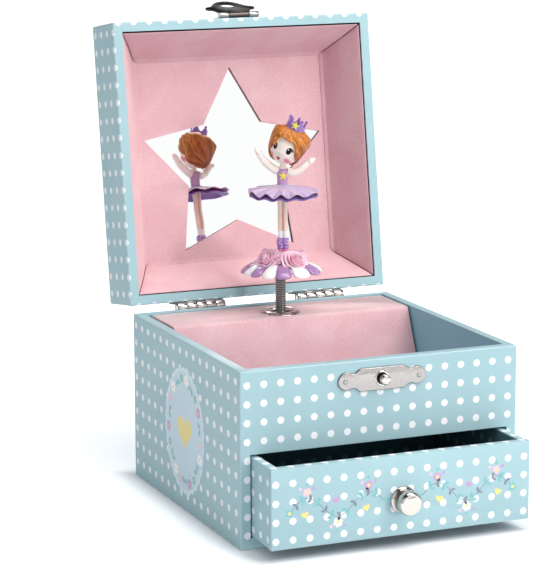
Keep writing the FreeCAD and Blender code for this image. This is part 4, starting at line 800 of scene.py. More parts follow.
def shapeGrid(name, across, along, formula):
    # a flat grid, each point moved by formula(u, v) with u and v from 0 to 1, in millimetres
    deselectAll()
    bpy.ops.mesh.primitive_grid_add(x_subdivisions=across, y_subdivisions=along, size=1.0,
                                    location=(0, 0, 0))
    piece = namePiece(name)
    for point in piece.data.vertices:
        point.co = Vector(formula(point.co.x + 0.5, point.co.y + 0.5)) * mm
    return piece


def copyPiece(piece, name):
    onlySelect(piece)
    bpy.ops.object.duplicate(linked=False)
    return namePiece(name)


def joinPieces(pieces, name):
    onlySelect(*pieces)
    bpy.ops.object.join()
    return namePiece(name)


def seat(piece, body, slot, *replaced):
    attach(piece, body)
    if replaced:
        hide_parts(*replaced)


def raisedStar(name, outer, inner, thick, puff):
    # a puffed star in the XZ plane facing -Y, first point upwards, in millimetres
    deselectAll()
    bpy.ops.mesh.primitive_circle_add(vertices=10, radius=outer * mm, fill_type="TRIFAN", location=(0, 0, 0))
    piece = namePiece(name)
    corners = sorted((v for v in piece.data.vertices if v.co.length > 1e-6),
                     key=lambda v: math.atan2(v.co.x, v.co.y) % (2 * math.pi))
    middle = next(v for v in piece.data.vertices if v not in corners)
    for i, corner in enumerate(corners):
        reach = inner if i % 2 else outer
        turn = math.pi * i / 5
        corner.co = (reach * math.sin(turn) * mm, 0, reach * math.cos(turn) * mm)
    middle.co = (0, -puff * mm, 0)
    pullForward(piece, thick)
    softenEdges(piece, 0.12, 2, 35)
    smoothShade(piece, 40)
    return piece


# doll on the spring; its pieces are drawn facing -Y at the axis and then turned to the front
dollSet = {"axis": (0.0, 44.0, 0.0), "turn": -22.647, "lean": 1.1, "baseAside": 0.45}


def turnToFront(piece, aside=0.0):
    settle(piece)
    putAt(piece, (aside, 0, 0))
    return putAt(piece, dollSet["axis"], (0, 0, math.radians(dollSet["turn"])))


def makeMouldedTone():
    # painted toy plastic: slight mottling and worn gloss; the deep amount carries painted shade
    group, ins, outs = newGroup(
        "mouldedTone",
        [("Place", "Vector", None), ("Colour", "Color", plainWhite), ("Deep Colour", "Color", plainWhite),
         ("Deep Amount", "Float", 0.0), ("Roughness", "Float", 0.35)],
        surfaceOutputs,
    )
    mottle = noise(group, ins["Place"], 240.0, 4.0)
    grain = noise(group, ins["Place"], 1700.0, 2.0)
    deep = calc(group, "ADD", ins["Deep Amount"], ramp(group, mottle, 0.3, 0.75, -0.03, 0.07))
    shaded = blendColour(group, limit(group, deep), ins["Colour"], ins["Deep Colour"])
    group.links.new(shaded, outs["Colour"])
    gloss = calc(group, "ADD", ins["Roughness"], ramp(group, mottle, 0.3, 0.7, -0.05, 0.08))
    group.links.new(gloss, outs["Roughness"])
    group.links.new(calc(group, "ADD", grain, mottle), outs["Height"])
    return group


mouldedTone = makeMouldedTone()


def plasticTone(tree, place, colour, deepColour, deepAmount, roughness):
    return useGroup(tree, mouldedTone, Place=place, Colour=colour, Deep_Colour=tint(deepColour),
                    Deep_Amount=deepAmount, Roughness=roughness)


def finishPlastic(tree, sockets, colour, deepColour, deepAmount, roughness, bump=0.05):
    tone = plasticTone(tree, readPlace(tree)[0], colour, deepColour, deepAmount, roughness)
    finishSurface(tree, sockets, tone, bump, 0.00005)


def makePlastic(name, colour, deepColour, mask, roughness, coat, coatRoughness, soft):
    # the deep colour follows a mask stored on the mesh: painted shade in folds, creases and under other
    # parts
    material, tree, sockets = newMaterial(name, colour, roughness, Coat_Weight=coat,
                                          Coat_Roughness=coatRoughness, Subsurface_Weight=soft,
                                          Subsurface_Scale=0.0015)
    deep = readMask(tree, mask) if mask else 0.0
    finishPlastic(tree, sockets, tint(colour), deepColour, deep, roughness)
    return material


# colour, deep colour of the painted shade, mask, roughness, coat, roughness of the coat and subsurface share
plasticSet = {
    "skinPale": ("FFF0E6", "F3DACE", None, 0.42, 0.15, 0.25, 0.3),
    "starYellow": ("F5DD52", "E2BE35", None, 0.38, 0.15, 0.25, 0.3),
    "petalWhite": ("FFFEFC", "DEDCDE", "groove", 0.22, 0.8, 0.10, 0.3),
    "petalPurple": ("AF86B6", "825A9C", "groove", 0.22, 0.8, 0.10, 0.3),
    "rosePink": ("FFDAE9", "FA94B9", "fold", 0.30, 0.12, 0.27, 0.0),
    "skirtLilac": ("D0BDD8", "9674B0", "fold", 0.42, 0.12, 0.27, 0.3),
    "skirtDeep": ("A88EC8", "7058A0", "fold", 0.42, 0.12, 0.27, 0.3),
    "ribbonPurple": ("C9A0DE", "8552B0", "fold", 0.34, 0.5, 0.175, 0.3),
    "crownPurple": ("9B74BE", "5E4488", "fold", 0.32, 0.12, 0.27, 0.3),
}
plastic = {name: makePlastic(name, *values) for name, values in plasticSet.items()}

# flower base: alternate white and purple petals hanging over a dome
flowerSet = {
    "rimLow": 94.2,
    "rimRadius": 18.3,
    "domeRise": 7.2,
    "eyeRadius": 2.0,
    "swell": 1.15,
    "petalThick": 1.0,
    # directions of the petals, degrees to the viewer's right of the front
    "petals": (3, 34, 66, 98, 131, 164, 198, 234, 275, 298, 317, 340),
    "under": [(0, 98.6), (13.6, 98.6), (15.4, 97.6), (15.0, 96.9), (4.0, 96.6), (3.0, 97.4), (0, 97.4)],
}
petalHalf = math.pi / len(flowerSet["petals"])


def petalPoint(u, v):
    side = (u - 0.5) * 2
    reach = flowerSet["eyeRadius"] + (flowerSet["rimRadius"] - flowerSet["eyeRadius"]) * v
    reach -= 0.7 * v ** 6 * side ** 4      # rounded tip
    share = min(reach / (flowerSet["rimRadius"] + 0.25), 0.9995)
    turn = side * petalHalf * (1.03 - 0.04 * v ** 8)
    level = math.sqrt(1 - share ** 2)
    swell = flowerSet["swell"] * (1 - abs(side) ** 2.4) * (0.10 + 0.90 * v ** 1.5)
    out = reach + swell * share
    rise = flowerSet["rimLow"] + flowerSet["domeRise"] * level + swell * level
    return (out * math.sin(turn), -out * math.cos(turn), rise)


def petalGroove(x, y, z):
    # painted shade: darker at the sides and towards the middle
    side = abs(math.atan2(x, -y)) / petalHalf
    reach = math.hypot(x, y) / flowerSet["rimRadius"]
    return 0.75 * max(0.0, side - 0.62) / 0.38 + 0.5 * max(0.0, 0.62 - reach)


def makeFlowerBase():
    turns = flowerSet["petals"]
    first = shapeGrid("flowerPetal", 10, 18, petalPoint)
    paintMask(first, "groove", petalGroove)
    faceOutwards(first)
    makeThick(first, flowerSet["petalThick"], -1.0)
    roundOff(first)
    smoothShade(first)
    petals = [first] + [copyPiece(first, "flowerPetal%d" % i) for i in range(1, len(turns))]
    for i, petal in enumerate(petals):
        paint(petal, plastic["petalWhite" if i % 2 else "petalPurple"])
        room = ((turns[(i + 1) % len(turns)] - turns[i - 1]) % 360) / 2
        for point in petal.data.vertices:      # wider or narrower to fill its room
            turn = math.atan2(point.co.x, -point.co.y) * room * len(turns) / 360 + math.radians(turns[i])
            reach = math.hypot(point.co.x, point.co.y)
            point.co.x = reach * math.sin(turn)
            point.co.y = -reach * math.cos(turn)
    under = spinProfile("flowerUnder", flowerSet["under"], 56, groove=0.0)
    paint(under, plastic["petalWhite"])
    smoothShade(under, 40)
    base = joinPieces(petals + [under], "flowerBase")
    seat(turnToFront(base, dollSet["baseAside"]), "dancer", "doll_purple", "figure_base")


makeFlowerBase()

# roses round the feet: a rolled bud and five rings of cupped petals
roseSet = {
    # petals, reach, height and outward roll of each ring, as shares of the rose's size
    "rings": [(3, 0.36, 0.98, 0.05), (3, 0.54, 0.93, 0.10), (4, 0.72, 0.82, 0.16), (5, 0.88, 0.66, 0.24),
              (6, 1.00, 0.46, 0.30)],
    # profile of the core under the petals, as shares of the rose's size
    "heart": [(0, -0.1), (0.52, 0.02), (0.62, 0.22), (0.30, 0.55), (0, 0.6)],
    # place on the doll's axis, size and lean outwards
    "spots": [
        ((5.6, -6.7, 100.0), 5.9, 0.95), ((-1.0, -6.6, 100.6), 4.5, 1.0), ((-6.0, -4.8, 100.8), 5.5, 0.95),
        ((-5.6, 4.2, 100.4), 5.2, 0.7), ((1.4, 6.8, 100.2), 5.0, 0.8), ((7.4, 2.4, 100.4), 5.0, 0.8),
    ],
    "mound": [(0, 105.4), (3.0, 105.2), (5.6, 104.0), (7.6, 101.6), (8.2, 99.4), (0, 99.4)],
}


def makeRosePetal(ring, index, size):
    count, reach, height, flare = roseSet["rings"][ring]
    start = 2 * math.pi * (index + 0.37 * ring) / count
    width = 2 * math.pi / count * 0.72
    steps = 7

    def formula(u, v):
        side = (u - 0.5) * 2
        turn = start + side * width
        lean = size * reach * (0.30 + 0.62 * math.sin(v * 1.45)) + size * flare * v ** 5
        lean += size * 0.05 * side
        rise = size * (height * v * (1.02 - 0.24 * abs(side) ** 3) - 0.30 * flare * v ** 6 - 0.12)
        return (lean * math.cos(turn), lean * math.sin(turn), rise)

    piece = shapeGrid("rosePetal", steps, steps, formula)
    core = 0.10 if ring == 0 else 0.0
    heights = [i // (steps + 1) / steps for i in range((steps + 1) ** 2)]
    # painted shade: darker towards the foot of each petal and in the innermost ring
    storeLayer(piece, "fold", [max(0.0, 0.66 - v) + core for v in heights])
    makeThick(piece, 0.30, 0.0)
    roundOff(piece)
    return piece


def makeRose(size):
    def roll(u, v):
        turn = u * 4.4 * math.pi
        reach = size * (0.07 + 0.24 * u) * (0.75 + 0.35 * v)
        return (reach * math.cos(turn), reach * math.sin(turn), size * (0.05 + v * (1.06 - 0.14 * u)))

    petals = [makeRosePetal(ring, index, size) for ring, values in enumerate(roseSet["rings"])
              for index in range(values[0])]
    bud = shapeGrid("roseBud", 44, 4, roll)
    # painted shade: the bud darker low down; the heart under the petals dark
    paintMask(bud, "fold", lambda x, y, z: 0.55 - 0.35 * z / size)
    makeThick(bud, 0.26, 0.0)
    heart = spinProfile("roseHeart", [(r * size, z * size) for r, z in roseSet["heart"]], 20, fold=0.9)
    return joinPieces(petals + [bud, heart], "rose")


def makeRoses():
    pieces = []
    for spot, size, lean in roseSet["spots"]:
        out = Vector((spot[0], spot[1], 0)).normalized()
        turn = (Vector((0, 0, 1)) + out * lean).to_track_quat("Z", "Y").to_euler()
        pieces.append(putAt(makeRose(size), spot, turn))
    # painted shade: the mound under the roses is dark
    pieces.append(spinProfile("roseMound", roseSet["mound"], 40, fold=0.8))
    bouquet = joinPieces(pieces, "baseRoses")
    paint(bouquet, plastic["rosePink"])
    smoothShade(bouquet)
    seat(turnToFront(bouquet, dollSet["baseAside"]), "dancer", "doll_pink", "base_roses")


makeRoses()
print("flower base and roses made")

# skirt: a light wavy layer over a darker one
skirtSet = {
    "waist": 136.2,
    "waistRadius": 2.2,
    "waves": 11,
    "aside": 1.45,
    "thick": 0.42,
    # finish, points round and down, radius, hem, height of the waves and their start
    "layers": [("skirtLilac", 264, 14, 16.2, 133.1, 1.05, 0.4),
               ("skirtDeep", 176, 10, 15.9, 131.1, 0.42, 1.2)],
    "cap": [(0, 134.2), (2.9, 134.2), (3.6, 134.8), (3.0, 135.7), (2.5, 136.5), (0, 136.5)],
}


def skirtWave(turn, start):
    drift = 1.1 * math.sin(2 * turn + 0.6) + 0.6 * math.sin(3 * turn)
    return math.cos(skirtSet["waves"] * turn + start + drift)


def skirtPleat(turn):
    return math.cos(3 * skirtSet["waves"] * turn + 1.2 * math.sin(5 * turn))


def makeSkirtLayer(finish, across, along, radius, hem, lift, start):
    def formula(u, v):
        turn = u * 2 * math.pi
        wave = skirtWave(turn, start)
        reach = skirtSet["waistRadius"] + (radius - skirtSet["waistRadius"]) * v
        reach *= 1 + 0.018 * wave * v ** 3
        drop = (skirtSet["waist"] - hem) * (0.86 * v ** 0.9 + 0.14 * v ** 7)
        ruffle = lift * (0.68 + 0.45 * math.cos(turn + 0.7)) * wave * v ** 2.6
        rise = skirtSet["waist"] - drop + ruffle + 0.16 * skirtPleat(turn) * v * (1.15 - v)
        return (reach * math.sin(turn), -reach * math.cos(turn), rise)

    def shade(x, y, z):
        turn = math.atan2(x, -y)
        share = math.hypot(x, y) / radius
        trough = skirtWave(turn, 0.4)
        if finish == "skirtDeep":      # painted shade of the upper layer: dark but for its hem
            return 0.95 - 0.55 * clamp((share - 0.965) / 0.03) * (0.55 + 0.45 * trough)
        # painted shade in the pleats and in the troughs of the waves
        pleats = max(0.0, 0.34 - 0.45 * skirtPleat(turn)) * share * 0.55
        return pleats + max(0.0, -trough) * share ** 3 * 0.30

    piece = shapeGrid("skirtLayer", across, along, formula)
    paintMask(piece, "fold", shade)
    closeUp(piece)
    makeThick(piece, skirtSet["thick"], 0.0)
    smoothShade(piece)
    paint(piece, plastic[finish])
    return piece


def makeSkirt():
    layers = [makeSkirtLayer(*values) for values in skirtSet["layers"]]
    cap = spinProfile("skirtCap", skirtSet["cap"], 36, fold=0.1)
    paint(cap, plastic["skirtLilac"])
    smoothShade(cap, 50)
    skirt = joinPieces(layers + [cap], "tutu")
    seat(turnToFront(skirt, skirtSet["aside"]), "dancer", "doll_lilac", "figure_tutu")


makeSkirt()

# legs with socks and slippers; colour bands by height
legSet = {
    "skin": "FFE6D8",
    # between: colour of the painted shade between the legs
    "between": "D08F5E",
    "sock": ("FFFAF2", "FFFFFF"),
    "slipper": "EE9DB4",
    "sockTop": 114.8,
    "slipperTop": 106.4,
    "roughness": 0.42,
    # right leg from the hip down
    "path": [(1.12, 0, 134.5), (1.12, -0.1, 130), (1.0976, -0.25, 123.5), (1.0976, 0.15, 118.5),
             (1.0528, 0, 112.5), (1.0528, -0.1, 107.5), (1.0976, -0.5, 104.6), (1.12, -0.6, 102.0)],
    "radii": [1.40, 1.30, 1.18, 1.24, 1.06, 1.06, 1.2, 0.5],
}


def makeLegPaint():
    material, tree, sockets = newMaterial("legPaint", legSet["skin"], legSet["roughness"], Coat_Weight=0.1,
                                          Coat_Roughness=0.3, Subsurface_Weight=0.3, Subsurface_Scale=0.0015)
    place = readPlace(tree)[0]
    high = split(tree, place)[2]
    rib = addNode(tree, "ShaderNodeTexWave", {"Vector": place, "Scale": 330.0, "Distortion": 0.3},
                  bands_direction="Z").outputs["Fac"]
    sock = blendColour(tree, ramp(tree, rib, 0.2, 0.8), *(tint(code) for code in legSet["sock"]))
    sockBand = calc(tree, "LESS_THAN", high, legSet["sockTop"] * mm)
    colour = blendColour(tree, sockBand, tint(legSet["skin"]), sock)
    slipper = calc(tree, "LESS_THAN", high, legSet["slipperTop"] * mm)
    colour = blendColour(tree, slipper, colour, tint(legSet["slipper"]))
    inner = calc(tree, "MULTIPLY", readMask(tree, "inner"), calc(tree, "SUBTRACT", 1.0, sockBand))
    finishPlastic(tree, sockets, colour, legSet["between"], inner, legSet["roughness"])
    return material


def makeLegs():
    paths = [[(x * side, y, z) for x, y, z in legSet["path"]] for side in (-1, 1)]
    legs = joinPieces([tubeAlong("leg", path, legSet["radii"]) for path in paths], "legs")
    # painted shade between the legs
    paintMask(legs, "inner", lambda x, y, z: 0.8 * math.exp(-(x / 0.42) ** 2))
    smoothShade(legs)
    paint(legs, makeLegPaint())
    seat(turnToFront(legs, dollSet["lean"]), "dancer", "doll_skin", "figure_legs")


makeLegs()

# flat ribbons wound crosswise round both ankles
ribbonSet = {
    "windings": [(0.0, 1), (math.pi, -1), (math.pi / 2, 1)],      # start and sense
    "turns": 1.05,
    "radius": 1.3,
    "half": 0.46,
    "aside": 1.2,
    "low": 106.9,
    "rise": 4.2,
    "steps": 16,
    "bandAside": 1.18,
    "band": [(0.9, 106.2), (1.34, 106.3), (1.4, 107.0), (1.3, 109.0), (1.36, 111.0), (1.28, 111.4),
             (0.9, 111.5)],
}


def makeRibbons():
    steps, reach = ribbonSet["steps"], ribbonSet["radius"]
    pieces = []
    for side in (-1, 1):
        for start, sense in ribbonSet["windings"]:
            points = []
            for k in range(steps + 1):
                turn = start + sense * k / steps * ribbonSet["turns"] * 2 * math.pi
                points.append((ribbonSet["aside"] * side + reach * math.sin(turn),
                               -0.1 - reach * math.cos(turn),
                               ribbonSet["low"] + ribbonSet["rise"] * k / steps))
            winding = tubeAlong("ribbonTurn", points, [ribbonSet["half"]] * len(points), 2)
            paintMask(winding, "fold", lambda x, y, z: 0.0)
            pieces.append(winding)
        # painted shade: the band under the windings is darker
        band = spinProfile("ribbonBand", ribbonSet["band"], 28, fold=0.7)
        pieces.append(putAt(band, (ribbonSet["bandAside"] * side, -0.1, 0)))
    ribbons = joinPieces(pieces, "ankleRibbons")
    paint(ribbons, plastic["ribbonPurple"])
    smoothShade(ribbons)
    seat(turnToFront(ribbons, dollSet["lean"]), "dancer", "doll_purple")


makeRibbons()

# torso: bodice with a star, bare neck
torsoSet = {
    "profile": [(0, 133.4), (2.4, 133.6), (2.85, 134.4), (2.66, 135.6), (2.52, 136.8), (2.50, 138.2),
                (2.52, 140.2), (2.52, 142.0), (2.42, 143.2), (1.95, 144.1), (1.35, 144.7), (1.2, 145.4),
                (1.2, 146.8), (1.3, 148.6), (0, 148.8)],
    "bodice": "BE93BE",
    "bodiceDeep": "A174B5",
    "seam": ("8F66A0", 143.35),
    "neck": ("EFDCD0", 143.65, 143.95),
    "roughness": 0.40,
    # outer and inner radius, thickness and puff of the star, its place and turns in degrees
    "star": (2.35, 0.98, 0.35, 0.30),
    "starSpot": (0.15, -1.98, 140.5),
    "starTurn": (-6, 8, 0),
}


def makeBodicePaint():
    material, tree, sockets = newMaterial("bodicePaint", torsoSet["bodice"], torsoSet["roughness"],
                                          Coat_Weight=0.12, Coat_Roughness=0.3)
    high = split(tree, readPlace(tree)[0])[2]
    seamColour, seamHeight = torsoSet["seam"]
    neckColour, neckLow, neckHigh = torsoSet["neck"]
    away = calc(tree, "ABSOLUTE", calc(tree, "SUBTRACT", high, seamHeight * mm))
    seam = ramp(tree, away, 0.00012, 0.00030, 1.0, 0.0)
    colour = blendColour(tree, calc(tree, "MULTIPLY", seam, 0.6), tint(torsoSet["bodice"]), tint(seamColour))
    colour = blendColour(tree, ramp(tree, high, neckLow * mm, neckHigh * mm), colour, tint(neckColour))
    finishPlastic(tree, sockets, colour, torsoSet["bodiceDeep"], 0.0, torsoSet["roughness"])
    return material


def makeTorso():
    torso = spinProfile("torso", torsoSet["profile"], 36)
    for point in torso.data.vertices:      # broad shoulders, flat chest
        high = point.co.z / mm
        point.co.x *= 1.0 + 0.16 * clamp((high - 139.0) / 3.5) * clamp((145.4 - high) / 1.5)
        point.co.y *= 0.84 if high < 144.6 else 0.95
    roundOff(torso)
    smoothShade(torso)
    paint(torso, makeBodicePaint())
    star = raisedStar("bodiceStar", *torsoSet["star"])
    putAt(star, torsoSet["starSpot"], [math.radians(turn) for turn in torsoSet["starTurn"]])
    paint(star, plastic["starYellow"])
    seat(turnToFront(star, dollSet["lean"]), "dancer", "doll_lilac")
    seat(turnToFront(torso, dollSet["lean"]), "dancer", "doll_lilac", "figure_torso")


makeTorso()

# arms held out and up, with mitten hands and a thumb
armSet = {
    "left": [(-2.3, 0.1, 142.6), (-4.4, -0.1, 143.9), (-6.6, -0.3, 145.6), (-8.7, -0.4, 147.7),
             (-10.1, -0.4, 149.6), (-10.8, -0.4, 150.7)],
    "right": [(2.5, 0.1, 142.4), (4.9, -0.2, 142.0), (7.4, -0.4, 142.9), (9.4, -0.5, 144.6),
              (11.2, -0.5, 146.2), (12.2, -0.5, 146.8)],
    "radii": [1.95, 1.90, 1.78, 1.68, 1.52, 1.38],
    "hand": 1.60,
    "thumb": [0.55, 0.50, 0.34],
}


def makeArms():
    pieces = []
    for side in ("left", "right"):
        points = [Vector(spot) for spot in armSet[side]]
        wrist = points[-1]
        aim = (wrist - points[-2]).normalized()
        hand = addSphere("hand", armSet["hand"], 24, 16)
        for point in hand.data.vertices:      # narrower towards the tips
            point.co.x *= 1.12 - 0.28 * max(0.0, point.co.z / mm)
            point.co.y *= 0.82
            point.co.z *= 1.35
        putAt(hand, wrist + aim * 0.9, aim.to_track_quat("Z", "Y").to_euler())
        across = aim.cross(Vector((0, 1, 0)))
        if across.z < 0:
            across = -across
        root = wrist + aim * 0.2
        knuckles = [root, root + aim * 0.5 + across * 0.9, root + aim + across * 1.45]
        thumb = tubeAlong("thumb", knuckles, armSet["thumb"], 3)
        pieces += [tubeAlong("arm", points, armSet["radii"]), hand, thumb]
    arms = joinPieces(pieces, "arms")
    smoothShade(arms)
    paint(arms, plastic["skinPale"])
    seat(turnToFront(arms, dollSet["lean"]), "dancer", "doll_skin", "figure_arms")


makeArms()
print("skirt, legs, torso and arms made")

# head: painted face on an egg-shaped head, bobbed hair with a parted fringe, crown with a star
headSet = {
    "spot": (2.75, -0.2, 153.0),
    "radius": 7.3,
    "lean": 22.0,
    "turn": -20.5,
    "skin": "F6E8DF",
    "deep": "F0D4C6",
    "roughness": 0.45,
}
headMatrix = (
    Matrix.Translation(Vector(headSet["spot"]) * mm)
    @ Matrix.Rotation(math.radians(headSet["lean"]), 4, "Y")
)


def onHead(piece, spot=(0, 0, 0), turn=0.0):
    # pieces are drawn round the head's middle, facing -Y
    settle(piece)
    move = Matrix.Translation(Vector(spot) * mm)
    piece.matrix_world = headMatrix @ move @ Matrix.Rotation(math.radians(turn), 4, "Z")
    bpy.context.view_layer.update()
    return turnToFront(piece)


def makePaintSpot():
    # a soft-edged painted oval on the XZ plane
    group, ins, outs = newGroup(
        "paintSpot",
        [("Place", "Vector", None), ("Centre", "Vector", (0, 0, 0)), ("Size", "Vector", (1, 1, 1)),
         ("Turn", "Float", 0.0), ("Soft", "Float", 0.1)],
        [("Mask", "Float")],
    )
    offset = vec(group, "SUBTRACT", ins["Place"], ins["Centre"])
    turned = addNode(group, "ShaderNodeVectorRotate", {"Vector": offset, "Angle": ins["Turn"]},
                     rotation_type="Y_AXIS").outputs[0]
    level = vec(group, "MULTIPLY", vec(group, "DIVIDE", turned, ins["Size"]), (1, 0, 1))
    share = vec(group, "LENGTH", level)
    low = calc(group, "SUBTRACT", 1.0, ins["Soft"])
    high = calc(group, "ADD", 1.0, ins["Soft"])
    front = calc(group, "LESS_THAN", split(group, ins["Place"])[1], 0.0)
    group.links.new(calc(group, "MULTIPLY", ramp(group, share, low, high, 1.0, 0.0), front), outs["Mask"])
    return group


paintSpot = makePaintSpot()

# each spot is centre x, centre z, half width, half height in millimetres, turn in degrees, softness,
# colour and strength
faceSet = {
    "cheekLeft": (-4.4, -4.5, 1.4, 1.25, 0, 0.5, "E2798C", 0.9),
    "cheekRight": (3.75, -4.6, 1.35, 1.1, 0, 0.5, "E2798C", 0.9),
    "shadeNose": (0.15, -2.2, 0.42, 0.26, 0, 0.6, "E3BDAE", 0.6),
    "lipTopLeft": (-0.72, -4.62, 0.52, 0.46, -18, 0.18, "BE2F42", 1.0),
    "lipTopRight": (0.08, -4.62, 0.52, 0.46, 18, 0.18, "BE2F42", 1.0),
    "lipLow": (-0.32, -5.12, 0.62, 0.52, 0, 0.18, "C43A4C", 1.0),
    "eyeLeft": (-3.45, 0.0, 1.08, 1.62, 6, 0.08, "0C0A0C", 1.0),
    "eyeRight": (3.45, 0.0, 1.08, 1.62, -6, 0.08, "0C0A0C", 1.0),
    "lashLeftA": (-4.45, 1.20, 1.05, 0.30, 32, 0.2, "0C0A0C", 1.0),
    "lashLeftB": (-4.75, 0.45, 0.80, 0.22, 14, 0.2, "0C0A0C", 1.0),
    "lashRightA": (4.45, 1.20, 1.05, 0.30, -32, 0.2, "0C0A0C", 1.0),
    "lashRightB": (4.75, 0.45, 0.80, 0.22, -14, 0.2, "0C0A0C", 1.0),
    "glintLeft": (-3.75, 0.60, 0.22, 0.32, 0, 0.2, "FFFFFF", 1.0),
    "glintRight": (3.15, 0.60, 0.22, 0.32, 0, 0.2, "FFFFFF", 1.0),
}


def readMap(tree, attribute):
    return addNode(tree, "ShaderNodeAttribute", attribute_name=attribute).outputs["Vector"]


def makeFacePaint():
    material, tree, sockets = newMaterial("facePaint", headSet["skin"], headSet["roughness"],
                                          Specular_IOR_Level=0.15)
    onFace = readMap(tree, "faceMap")
    colour = tint(headSet["skin"])
    for x, z, wide, tall, turn, soft, shade, strength in faceSet.values():
        spot = useGroup(tree, paintSpot, Place=onFace, Centre=(x * mm, 0, z * mm),
                        Size=(wide * mm, 1, tall * mm), Turn=math.radians(turn), Soft=soft)["Mask"]
        colour = blendColour(tree, calc(tree, "MULTIPLY", spot, strength), colour, tint(shade))
    finishPlastic(tree, sockets, colour, headSet["deep"], 0.0, headSet["roughness"], 0.03)
    return material


def makeHead():
    radius = headSet["radius"]
    head = addSphere("head", radius, 72, 48)
    for point in head.data.vertices:
        x, y, z = point.co / mm
        low = max(0.0, -z / radius)
        x *= 1.0 - 0.12 * low ** 2
        z *= 1.0 + 0.03 * low
        high = max(0.0, z / radius)
        x *= 1.0 + 0.06 * high
        y *= 0.94 - 0.05 * low + 0.12 * high
        if y < 0:
            y -= 0.5 * math.exp(-(x ** 2 + ((z + 2.1) / 0.8) ** 2))      # nose
            y -= 0.30 * math.exp(-((abs(x) - 3.6) ** 2 + (z + 3.8) ** 2) / 4.0)      # cheeks
            y += 0.25 * math.exp(-((abs(x) - 3.1) ** 2 / 2.2 + (z - 0.2) ** 2 / 3.0))      # eye hollows
        point.co = Vector((x, y, z)) * mm
    storeLayer(head, "faceMap", [point.co.copy() for point in head.data.vertices], "FLOAT_VECTOR")
    smoothShade(head, 80)
    paint(head, makeFacePaint())
    seat(onHead(head, turn=headSet["turn"]), "dancer", "doll_skin", "figure_head")


makeHead()

hairSet = {
    "middle": (0.6, 0.6, 3.0),
    "front": 8.1,
    "back": 8.8,
    "boxy": 2.5,
    "part": (-2.6, -4.4, 9.0),
    "nape": 2.6,
    # outline from the front, from the top left corner clockwise, in millimetres from the head's middle
    "outline": [(-8.3, 8.2), (-6.3, 9.4), (-3.4, 10.0), (0.3, 10.4), (3.4, 10.2), (5.8, 9.7), (9.0, 7.7),
                (9.7, 6.5), (9.5, 4.8), (8.6, 1.4), (7.6, -1.4), (6.4, -3.5), (5.4, -4.0), (3.0, -4.3),
                (0.0, -4.5), (-3.0, -4.5), (-5.4, -4.2), (-6.6, -3.4), (-7.7, -1.4), (-8.5, 2.0),
                (-8.7, 5.3)],
    # outline of the face in the hair, seen from the front, in millimetres from the head's middle
    "opening": [(-6.9, -2.6), (-7.0, 0.0), (-6.9, 2.0), (-6.9, 4.0), (-6.3, 5.8), (-5.0, 5.8),
                (-2.7, 5.1), (-0.6, 4.6), (1.3, 4.5), (2.6, 3.8), (3.6, 2.1), (4.4, 0.0), (4.8, -1.6),
                (5.4, -2.9), (6.2, -9.5), (-9.0, -9.5), (-9.0, -3.0)],
    "colour": "BC5C0C",
    "deep": "78300A",
    "light": "EBA23A",
    "roughness": 0.38,
}


def outsideBy(x, z, corners):
    # distance to the outline, negative inside it
    inside = False
    best = 1e9
    for (x0, z0), (x1, z1) in zip(corners, corners[1:] + corners[:1]):
        if (z0 > z) != (z1 > z) and x < (x1 - x0) * (z - z0) / (z1 - z0) + x0:
            inside = not inside
        dx, dz = x1 - x0, z1 - z0
        t = clamp(((x - x0) * dx + (z - z0) * dz) / (dx * dx + dz * dz))
        best = min(best, math.hypot(x - x0 - t * dx, z - z0 - t * dz))
    return -best if inside else best


def rimReach(corners, turn):
    # how far the outline lies from its middle in one direction
    dx, dz = math.cos(turn), math.sin(turn)
    far = 1.0
    for (x0, z0), (x1, z1) in zip(corners, corners[1:] + corners[:1]):
        ex, ez = x1 - x0, z1 - z0
        cross = dx * ez - dz * ex
        if abs(cross) > 1e-9:
            t = (x0 * ez - z0 * ex) / cross
            s = (x0 * dz - z0 * dx) / cross
            if t > 0 and -0.001 <= s <= 1.001:
                far = max(far, t)
    return far


def makeHairPaint():
    material, tree, sockets = newMaterial("hairPaint", hairSet["colour"], hairSet["roughness"],
                                          Coat_Weight=0.15, Coat_Roughness=0.3)
    streak = noise(tree, readMap(tree, "combMap"), 5.0, 5.0, 0.2)
    colour = blendColour(tree, ramp(tree, streak, 0.42, 0.64), tint(hairSet["colour"]),
                         tint(hairSet["light"]))
    colour = blendColour(tree, ramp(tree, streak, 0.50, 0.26), colour, tint(hairSet["deep"]))
    # painted shade from the groove mask
    groove = readMask(tree, "groove")
    tone = plasticTone(tree, readPlace(tree)[0], colour, hairSet["deep"], groove, hairSet["roughness"])
    combed = {"Colour": tone["Colour"], "Roughness": tone["Roughness"], "Height": streak}
    finishSurface(tree, sockets, combed, 0.35, 0.0003)
    return material


